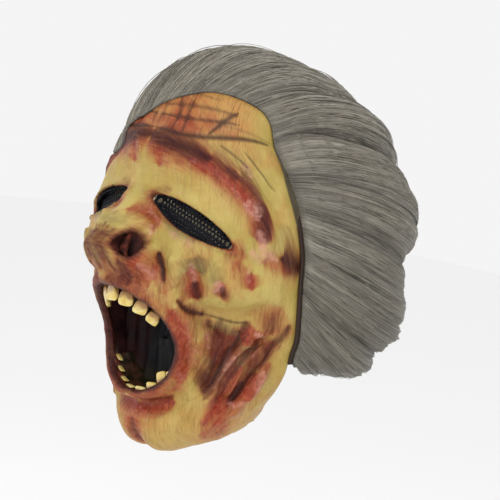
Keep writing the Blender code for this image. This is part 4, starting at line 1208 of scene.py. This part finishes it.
def seamed_object(name, points, along, back, *looks):
    """A piece made of a grid that ends in a seam, and its values along and back at each point."""
    index = seamed_index(points.shape[0] - 1, points.shape[1] - 1)
    count = int(index.max()) + 1
    piece = new_object(name, points.reshape(-1, 3)[:count], grid_faces(index), *looks)
    along, back = along.ravel()[:count], back.ravel()[:count]
    add_uv(piece, along, back)
    return piece, along, back


def make_hair_body(look):
    """The combed mass of the wig."""
    along = np.linspace(-1, 1, HAIR_COLUMNS + 1)
    back = np.linspace(0, 1, HAIR_ROWS + 1) ** 1.15
    turn_in = np.linspace(0, 1, HEM_STEPS + 1)[:-1]
    share = np.concatenate([turn_in, np.ones(HAIR_COLUMNS + 1), np.linspace(1, 0, HEM_STEPS + 1)[1:]])
    along = np.concatenate([np.full(HEM_STEPS, -1.0), along, np.full(HEM_STEPS, 1.0)])
    grid_along, grid_back = np.meshgrid(along, back)
    grid_share, _ = np.meshgrid(np.sin(share * math.pi / 2), back)
    outer = hair_surface(grid_along, grid_back)
    base = hair_base(grid_along, grid_back)
    points = base + (outer - base) * grid_share[..., None]
    # The first row goes down to the skin, so that no slit shows under the hairline
    root = base[:1] - (outer[:1] - base[:1]) * 0.5
    points = np.concatenate([root, points])
    grid_along = np.concatenate([grid_along[:1], grid_along])
    grid_back = np.concatenate([grid_back[:1], grid_back])
    hair, along, back = seamed_object("hair_body", points, grid_along, grid_back, look)
    # Painted shade in the gaps between the locks of the body
    gap_shade = lock_gap_shade(lock_crest(along, back), *BODY_GAP_SHADE)
    # Painted shade at the roots: nearly black where the hair meets the skin
    gap_shade = gap_shade * ramp(back / 0.12) + 0.9 * (1 - ramp(back / 0.03))
    shade = 0.5 + 0.5 * noise(along * 60, back * 3, SEED + 5)
    set_attribute(hair, "strand", np.column_stack([shade, np.clip(gap_shade, 0, 1), np.zeros(len(gap_shade))]))
    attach(hair, "root")
    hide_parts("hair")


def make_strands(name, side, look):
    """Single strands over one half of the wig, each a thin tube that follows the combing."""
    rng = np.random.default_rng(SEED + 20 + side)
    count = STRANDS
    start_along = side * rng.uniform(0.0, 1.0, count)
    first = np.where(rng.random(count) < FROM_FRONT, 0.0, rng.uniform(0.0, 0.5, count))
    last = np.where(rng.random(count) < TO_SEAM, 1.0, first + rng.uniform(0.35, 0.6, count))
    last = last.clip(0, 1) - 0.004
    step = np.linspace(0, 1, STRAND_STEPS + 1)
    back = first[:, None] + (last - first)[:, None] * step
    drift = rng.normal(0, SLANT, (count, 1)) * step
    drift = drift + rng.normal(0, WAVE, (count, 1)) * np.sin(
        step * rng.uniform(3, 9, (count, 1)) + rng.uniform(0, 6, (count, 1))
    )
    along = np.clip(start_along[:, None] + drift, -1, 1)
    stray = rng.random(count) < STRAY
    lift = np.where(stray, rng.uniform(*STRAY_LIFT, count), rng.uniform(*STRAND_LIFT, count))
    lift = lift[:, None] * np.sin(step * math.pi) ** 0.7
    line = hair_surface(along, back, STRAND_SEAT)
    outward = unit(line - HAIR_CENTRE)
    line = line + outward * lift[..., None]
    ahead = unit(np.gradient(line, axis=1))
    beside = unit(np.cross(outward, ahead))
    above = np.cross(ahead, beside)
    radius = rng.uniform(*STRAND_RADIUS, count)[:, None] * (0.35 + 0.65 * np.sin(step * math.pi) ** 0.5)
    ring = []
    for angle in (math.pi / 2, math.pi * 7 / 6, math.pi * 11 / 6):
        ring.append(line + (beside * math.cos(angle) + above * math.sin(angle)) * radius[..., None])
    points = np.stack(ring, axis=2).reshape(-1, 3)
    number = np.arange(count * (STRAND_STEPS + 1) * 3).reshape(count, STRAND_STEPS + 1, 3)
    quads = []
    for i in range(3):
        j = (i + 1) % 3
        quads.append(np.stack([number[:, :-1, i], number[:, :-1, j], number[:, 1:, j], number[:, 1:, i]], -1))
    strands = new_object(name, points, np.concatenate([q.reshape(-1, 4) for q in quads]), look)
    add_uv(strands, np.repeat(along.ravel(), 3), np.repeat(back.ravel(), 3))
    shade = np.clip(rng.normal(0.55, 0.28, count), 0, 1)
    tint = (rng.random(count) < BROWN) * rng.uniform(0.3, 1.0, count)
    # Painted shade on the strands that lie in the gaps between the locks
    gap_shade = lock_gap_shade(lock_crest(along, back), *STRAND_GAP_SHADE) * ramp(back / 0.12)
    shade, tint = (np.repeat(value[:, None], STRAND_STEPS + 1, 1) for value in (shade, tint))
    colours = np.stack([shade, np.clip(gap_shade, 0, 1), tint], -1)
    set_attribute(strands, "strand", np.repeat(colours.reshape(-1, 3), 3, axis=0))
    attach(strands, "root")


def cap_looks():
    """The cap's cloth: pale lining inside, dark brown knit outside."""
    lining = Look("cap_lining", 0.85)
    place = lining.place()
    colour = lining.mix(lining.noise(place, 60.0), *LINING_CREAMS)
    weave = lining.bump(lining.noise(place, 900.0, 1.0), 0.0003, 0.5)
    lining = lining.finish(colour, None, weave)
    knit = Look("cap_knit", 0.8)
    loops = knit.noise(knit.stretched(knit.uv(), (420.0, 160.0, 1.0)), 1.0, 1.0)
    colour = knit.mix(loops, *CAP_BROWNS)
    knit = knit.finish(colour, None, knit.bump(loops, 0.0006, 0.8))
    return knit, lining


def make_cap():
    """The cloth cap under the wig. Its front edge shows as a strip beside the cheeks."""
    along = np.linspace(-1, 1, CAP_COLUMNS + 1)
    share = np.linspace(0, 1, CAP_ROWS + 1)
    grid_along, grid_share = np.meshgrid(along, share)
    reach = np.abs(grid_along)
    first = CAP_SIDE_START + (CAP_BROW_START - CAP_SIDE_START) * (1 - ramp((reach - 0.42) / 0.16))
    grid_back = first + (1 - first) * grid_share**1.2
    points = cap_point(grid_along, grid_back, 0.0)
    cap, _, _ = seamed_object("cap_cloth", points, grid_along, grid_back, *cap_looks())
    wall = add_wall(cap, CAP_WALL, 1.0)
    wall.material_offset = 1
    wall.material_offset_rim = 0
    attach(cap, "root")
    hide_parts("wig_cap")


def screen_look():
    """Black mesh, nearly without shine."""
    look = Look("black_mesh", 0.55, Specular_IOR_Level=0.12)
    place = look.place()
    weave = look.noise(place, 900.0, 2.0)
    colour = look.mix(weave, *MESH_BLACKS)
    return look.finish(colour, None, look.bump(weave, 0.0003, 0.5))


def make_screen(name, side, look):
    """The screen behind one eye slot, pierced by staggered rows of round holes."""
    centre_across, centre_level, half_breadth, half_height, turn, _ = OPENINGS["eye"]
    half_along = half_breadth * FACE_HALF_WIDTH + SCREEN_LAP
    half_up = half_height * FACE_HEIGHT + SCREEN_LAP
    cell = HOLE_PITCH / math.sqrt(3)
    corners = np.radians(np.arange(12) * 30.0 + 30.0)
    # The cell's rim alternates between its corners and the middles of its sides
    rim = np.where(np.arange(12) % 2 == 0, cell, cell * math.cos(math.pi / 6))
    spots, faces = [], []
    rows = int(half_up / (HOLE_PITCH * math.sqrt(3) / 2)) + 1
    columns = int(half_along / HOLE_PITCH) + 1
    for row in range(-rows, rows + 1):
        for column in range(-columns, columns + 1):
            x = (column + 0.5 * (row % 2)) * HOLE_PITCH
            y = row * HOLE_PITCH * math.sqrt(3) / 2
            if (abs(x) / half_along) ** 2.6 + (abs(y) / half_up) ** 2.6 > 1.0:
                continue
            first = len(spots)
            hole = HOLE_RADIUS * (WIDE_HOLE if y > -0.12 * half_up else NARROW_HOLE)
            for radii in (rim, [hole] * 12):
                spots += [(x + r * math.cos(a), y + r * math.sin(a)) for r, a in zip(radii, corners)]
            for i in range(12):
                j = (i + 1) % 12
                faces.append((first + i, first + j, first + 12 + j, first + 12 + i))
    across, level = on_sheet(*rotated(*np.array(spots).T, turn))
    points = face_point(side * (centre_across + across), centre_level + level, -LATEX_WALL - DEEP_SEAT)
    if side < 0:
        faces = [tuple(reversed(face)) for face in faces]
    screen = new_object(name, points, faces, look)
    weld = screen.modifiers.new("weld", "WELD")
    weld.merge_threshold = 0.00005
    add_wall(screen, SCREEN_WALL)
    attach(screen, "root")
    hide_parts(name.replace("mesh", "screen"))


def pocket_look():
    """Black stretch cloth with a bluish sheen, browner on the wearer's right and mossy on its floor."""
    look = Look("pocket_cloth", 0.42, Specular_IOR_Level=0.10)
    place = look.place()
    floor, far, _ = look.parts("zone")
    weave = look.noise(place, 700.0, 2.0)
    cloud = look.noise(place, 60.0, 3.0)
    colour = look.mix(weave, *POCKET_BLACKS)
    browner = look.times(far, look.span(cloud, 0.35, 0.7, 0.3, 1.0))
    colour = look.mix(browner, colour, (0.045, 0.014, 0.014))
    mossy = look.times(floor, look.span(cloud, 0.3, 0.7, 0.4, 1.0))
    colour = look.mix(mossy, colour, (0.055, 0.045, 0.018))
    return look.finish(colour, look.span(cloud, 0.35, 0.62, 0.32, 0.62), look.bump(weave, 0.0004, 0.5))


def make_pocket():
    """The cloth pocket behind the lips, with hanging wrinkles."""
    angle = round_angles(POCKET_COLUMNS)
    across, level = opening_edge("mouth", 1, angle, POCKET_LAP)
    front = face_point(across, level - POCKET_DROP / FACE_HEIGHT, -LATEX_WALL - DEEP_SEAT)
    centre = front.mean(axis=0)
    table = np.array(POCKET_RINGS)
    share = np.linspace(0, 1, POCKET_ROWS + 1)
    rings = table_at(table, share)
    points = []
    for s, (_, way, narrow) in zip(share, rings):
        ring = centre + (front - centre) * [narrow, 1.0, narrow]
        ring[:, 1] = front[:, 1] + (-POCKET_BACK - front[:, 1]) * way
        hanging = np.sin(ring[:, 0] * 520 + 1.5 * np.sin(ring[:, 2] * 60))
        wrinkle = HANGING_WRINKLE * hanging * ramp((s - 0.45) / 0.3)
        wrinkle += FINE_WRINKLE * noise(ring[:, 0] * 300, ring[:, 2] * 50, SEED + 6) * ramp(s / 0.4)
        ring[:, 1] += wrinkle * narrow
        inward = unit((ring - centre) * [1, 0, 1])
        fold = POCKET_FOLD * noise(angle * 12 / math.pi, np.full_like(angle, s * 5), SEED + 7) * ramp(s / 0.3)
        ring -= inward * np.abs(fold)[:, None] * narrow
        points.append(ring)
    points.append(points[-1].mean(axis=0, keepdims=True))
    points = np.concatenate(points)
    index = ring_index(POCKET_ROWS + 1, POCKET_COLUMNS)
    end = np.full(POCKET_COLUMNS, len(points) - 1)
    fan = np.column_stack([index[-1, :-1], index[-1, 1:], end])
    mesh = bpy.data.meshes.new("mouth_pocket")
    mesh.from_pydata(points.tolist(), [], grid_faces(index).tolist() + fan.tolist())
    mesh.shade_smooth()
    mesh.materials.append(pocket_look())
    pocket = linked("mouth_pocket", mesh)
    low, high = points.min(axis=0), points.max(axis=0)
    height = (points[:, 2] - low[2]) / (high[2] - low[2])
    width = (points[:, 0] - low[0]) / (high[0] - low[0])
    floor = 1 - ramp((height - 0.10) / 0.25)
    far = (1 - ramp((width - 0.12) / 0.30)) * (1 - floor)
    set_attribute(pocket, "zone", np.column_stack([floor, far, np.zeros_like(floor)]))
    add_wall(pocket, POCKET_WALL, 1.0)
    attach(pocket, "root")
    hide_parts("mouth_lining")


def gum_line(upper, grow, count):
    """Points behind the lip, grow metres outside the gum's own line."""
    start, end = UPPER_GUM_ARC if upper else LOWER_GUM_ARC
    grow = grow + (UPPER_GUM_TUCK if upper else LOWER_GUM_TUCK)
    across, level = opening_edge("mouth", 1, np.radians(np.linspace(start, end, count)), grow)
    return face_point(across, level, -LATEX_WALL - GUM_SEAT)


def gum_look(name, dark, light):
    """Wet, lumpy gum."""
    look = Look(name, 0.34, Coat_Weight=0.15, Coat_Roughness=0.15, Specular_IOR_Level=0.25)
    place = look.place()
    cloud = look.noise(place, 110.0, 3.0)
    colour = look.mix(look.span(cloud, 0.35, 0.65), dark, light)
    return look.finish(colour, None, look.bump(look.noise(place, 260.0, 3.0), 0.0012, 0.7))


def make_gum(name, node, upper, look):
    """The lumpy ridge of gum that the teeth stand in."""
    root = gum_line(upper, GUM_HEIGHT / 2, GUM_POINTS)
    tip = gum_line(upper, -GUM_HEIGHT / 2, GUM_POINTS)
    middle = (root + tip) / 2 + [0.0, GUM_DEPTH / 2, 0.0]
    half_up = (tip - root) / 2
    half_deep = np.array([0.0, GUM_DEPTH / 2, 0.0])
    angle = round_angles(GUM_SIDES)
    cos, sin = signed_power(np.cos(angle), GUM_POWER), signed_power(np.sin(angle), GUM_POWER)
    run = np.linspace(0, 1, GUM_POINTS)
    lump = 1 + 0.16 * noise(run[:, None] * 24, angle[None] * 1.3, SEED + 8)
    points = middle[:, None] + half_up[:, None] * (cos * lump)[..., None]
    points = points + half_deep * (sin * lump)[..., None]
    gum = new_object(name, points.reshape(-1, 3), grid_faces(ring_index(GUM_POINTS, GUM_SIDES)), look)
    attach(gum, "root")
    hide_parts(node)


def make_mouth_floor(look):
    """The inner side of the lower jaw: a fold of gum that slopes from the teeth back into the pocket."""
    line = gum_line(False, -GUM_HEIGHT / 2, GUM_POINTS) + [0.0, GUM_DEPTH * 0.7, 0.0]
    run = np.linspace(0, 1, GUM_POINTS)
    points = []
    for share in np.arange(FLOOR_ROWS + 1) / FLOOR_ROWS:
        ring = line.copy()
        ring[:, 1] += FLOOR_REACH * share
        ring[:, 0] -= line[:, 0] * 0.30 * share
        lift = FLOOR_BULGE * math.sin(share * math.pi)
        lift += FLOOR_RIDGE * math.exp(-(((share - 0.75) / 0.16) ** 2))
        unevenness = 1 + 0.3 * noise(run * 14, np.full(GUM_POINTS, share * 4), SEED + 9)
        ring[:, 2] += lift * unevenness - 0.002 * share
        points.append(ring)
    faces = grid_faces(grid_index(FLOOR_ROWS, GUM_POINTS - 1))
    floor = new_object("mouth_floor", np.concatenate(points), faces, look)
    add_wall(floor, FLOOR_WALL)
    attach(floor, "root")


def gum_rise(ends, up, side, front, breadth):
    """Height of the gum's line under a tooth's root, over the middle of the stretch between its ends."""
    rise = 0.0
    for across in (-breadth / 2, breadth / 2):
        for deep in (-TOOTH_THICKNESS / 2, TOOTH_THICKNESS / 2):
            corner = side * across + front * deep
            for end in ends:
                share = (corner.x * end.x + corner.z * end.z) / (end.x**2 + end.z**2)
                rise = max(rise, max(share, 0.0) * end.dot(up))
    return rise


def enamel_look():
    """Ivory teeth, brown at the root and along their cracks."""
    look = Look("stained_enamel", 0.28, Coat_Weight=0.35, Coat_Roughness=0.12)
    place = look.place()
    root = look.attribute("root")
    cloud = look.noise(place, 240.0, 3.0)
    cracks = look.noise(look.stretched(place, (1.0, 1.0, 0.25)), 900.0, 2.0)
    colour = look.mix(look.span(cloud, 0.35, 0.65), *IVORY)
    stain = look.plus(root, look.times(look.math("SUBTRACT", cloud, 0.5), 0.9))
    colour = look.mix(look.span(stain, 0.30, 0.82, 0.0, 0.95), colour, (0.30, 0.125, 0.022))
    colour = look.mix(look.span(cracks, 0.58, 0.74, 0.0, 0.5), colour, (0.30, 0.15, 0.05))
    return look.finish(colour, None, look.bump(cloud, 0.0006, 0.5))


def make_teeth(name, upper, look):
    """A row of worn teeth in one piece, each on its own stretch of the gum's line."""
    rng = np.random.default_rng(SEED + (40 if upper else 41))
    count = UPPER_TEETH if upper else LOWER_TEETH
    length = UPPER_TOOTH if upper else LOWER_TOOTH
    line = [Vector(point) for point in gum_line(upper, -GUM_HEIGHT / 2, 2 * count + 1)]
    upright = Vector((0.0, 0.0, -1.0 if upper else 1.0))
    inwards = Vector((0.0, UPPER_TOOTH_SET if upper else LOWER_TOOTH_SET, 0.0))
    quarter = math.pi / 2
    turn, rise = np.meshgrid(round_angles(TOOTH_COLUMNS), np.linspace(-quarter, quarter, TOOTH_ROWS + 1))
    ring = np.abs(np.cos(rise)) ** TOOTH_POWER
    x = ring * signed_power(np.cos(turn), TOOTH_POWER)
    y = ring * signed_power(np.sin(turn), TOOTH_POWER)
    share = (signed_power(np.sin(rise), TOOTH_POWER) + 1) / 2
    points, faces, roots = [], [], []
    index = ring_index(TOOTH_ROWS + 1, TOOTH_COLUMNS)
    for i in range(count):
        before, middle, after = line[2 * i : 2 * i + 3]
        run = after - before
        square = run.cross(Vector((0.0, 1.0, 0.0))).normalized()
        up = (square * math.copysign(1.0, square.dot(upright)) + upright).normalized()
        front = run.cross(up).normalized()
        if front.y > 0:
            front.negate()
        side = front.cross(up)
        breadth = (run - up * run.dot(up)).length * TOOTH_SHARE
        seat = gum_rise((before - middle, after - middle), up, side, front, breadth * ROOT_BREADTH)
        root = middle + up * seat + inwards
        own = length * (UPPER_TALL if upper else LOWER_TALL)[i]
        slant = rng.uniform(-0.10, 0.10)
        swell = ROOT_BREADTH + (TIP_BREADTH * TIP_SWELL - ROOT_BREADTH) * ramp(share * 1.6)
        width = TOOTH_SWELL * breadth * swell / 2
        depth = TOOTH_THICKNESS * (1 + (TIP_THICKNESS - 1) * share) / 2
        tall = own * (share - 0.10) * (1 + slant * x)
        wobble = 1 + 0.05 * noise(turn * 1.2 + i, share * 3, SEED + 50 + i)
        shape = (
            np.array(root)
            + np.array(side) * (x * width * wobble)[..., None]
            + np.array(front) * (y * depth * wobble)[..., None]
            + np.array(up) * tall[..., None]
        )
        faces.append(grid_faces(index + i * share.size))
        points.append(shape.reshape(-1, 3))
        roots.append((1 - share).ravel())
    teeth = new_object(name, np.concatenate(points), np.concatenate(faces), look)
    set_attribute(teeth, "root", np.concatenate(roots))
    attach(teeth, "root")
    label = "upper" if upper else "lower"
    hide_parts(*[f"{label}_tooth_{i + 1}" for i in range(count)])


def make_nose_lining():
    """Dark cups behind the nostrils, with the thin septum that parts each of them; painted shade makes them
    darker with depth.
    """
    look = Look("nose_paint_and_shade", 0.75, Specular_IOR_Level=0.1)
    place = look.place()
    cloud = look.noise(place, 150.0, 3.0)
    depth = look.attribute("depth")
    colour = look.mix(look.span(cloud, 0.35, 0.65), (0.120, 0.028, 0.018), (0.035, 0.010, 0.008))
    # Painted shade: nearly black deeper in the cups and on the septum's sunken sides
    colour = look.mix(depth, colour, (0.008, 0.004, 0.004))
    look = look.finish(colour, None, look.bump(cloud, 0.001, 0.6))
    points, faces, deep = [], [], []
    middle_across, middle_level, _, half_height, *_ = OPENINGS["nostril"]
    columns, rows = NOSTRIL_COLUMNS, NOSTRIL_ROWS
    angle = round_angles(columns)
    for side in (1, -1):
        centre = face_point(np.array(side * middle_across), np.array(middle_level), -NOSTRIL_DEPTH)
        rim = face_point(*opening_edge("nostril", side, angle, NOSTRIL_LAP), -NOSTRIL_SEAT)
        first = len(points) * columns
        for row in range(rows + 1):
            share = row / rows
            narrow = math.cos(share * math.pi / 2) ** 0.6 if row < rows else 0.02
            points.append(centre + (rim - centre) * [narrow, 1 - math.sin(share * math.pi / 2), narrow])
            # How strong the painted shade is, growing towards the cup's bottom
            deep.append(np.full(columns, ramp(share * 1.2)))
        cup = grid_faces(first + ring_index(rows + 1, columns))
        across, rise = np.meshgrid(np.linspace(-1, 1, columns), np.linspace(-1.1, 1.1, rows + 1))
        bar_across, bar_level = on_sheet(SEPTUM_BREADTH * across, rise * half_height * FACE_HEIGHT)
        sunk = SEPTUM_SINK + SEPTUM_DEPTH * across**2 + 0.0012 * np.abs(rise)
        spot = (side * (middle_across + bar_across - 0.012 * rise), middle_level + bar_level)
        first = len(points) * columns
        points.extend(face_point(*spot, -sunk))
        # Painted shade on the septum, darker towards its sides where it sinks deeper
        deep.extend(0.75 * across**2)
        septum = grid_faces(first + grid_index(rows, columns - 1))
        faces += [quads if side > 0 else quads[:, ::-1] for quads in (cup, septum)]
    nose = new_object("nose_lining", np.concatenate(points), np.concatenate(faces), look)
    set_attribute(nose, "depth", np.concatenate(deep))
    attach(nose, "root")


make_camera()
make_face()
fibre = hair_look()
make_hair_body(fibre)
make_strands("hair_strands_left", 1, fibre)
make_strands("hair_strands_right", -1, fibre)
make_cap()
mesh_look = screen_look()
make_screen("eye_mesh_left", 1, mesh_look)
make_screen("eye_mesh_right", -1, mesh_look)
make_pocket()
gum = gum_look("wet_gum", *GUM_REDS)
make_gum("gum_ridge_upper", "upper_gum", True, gum)
make_gum("gum_ridge_lower", "lower_gum", False, gum)
make_mouth_floor(gum_look("dark_gum", *FLOOR_BROWNS))
enamel = enamel_look()
make_teeth("teeth_upper", True, enamel)
make_teeth("teeth_lower", False, enamel)
make_nose_lining()
make_stage()
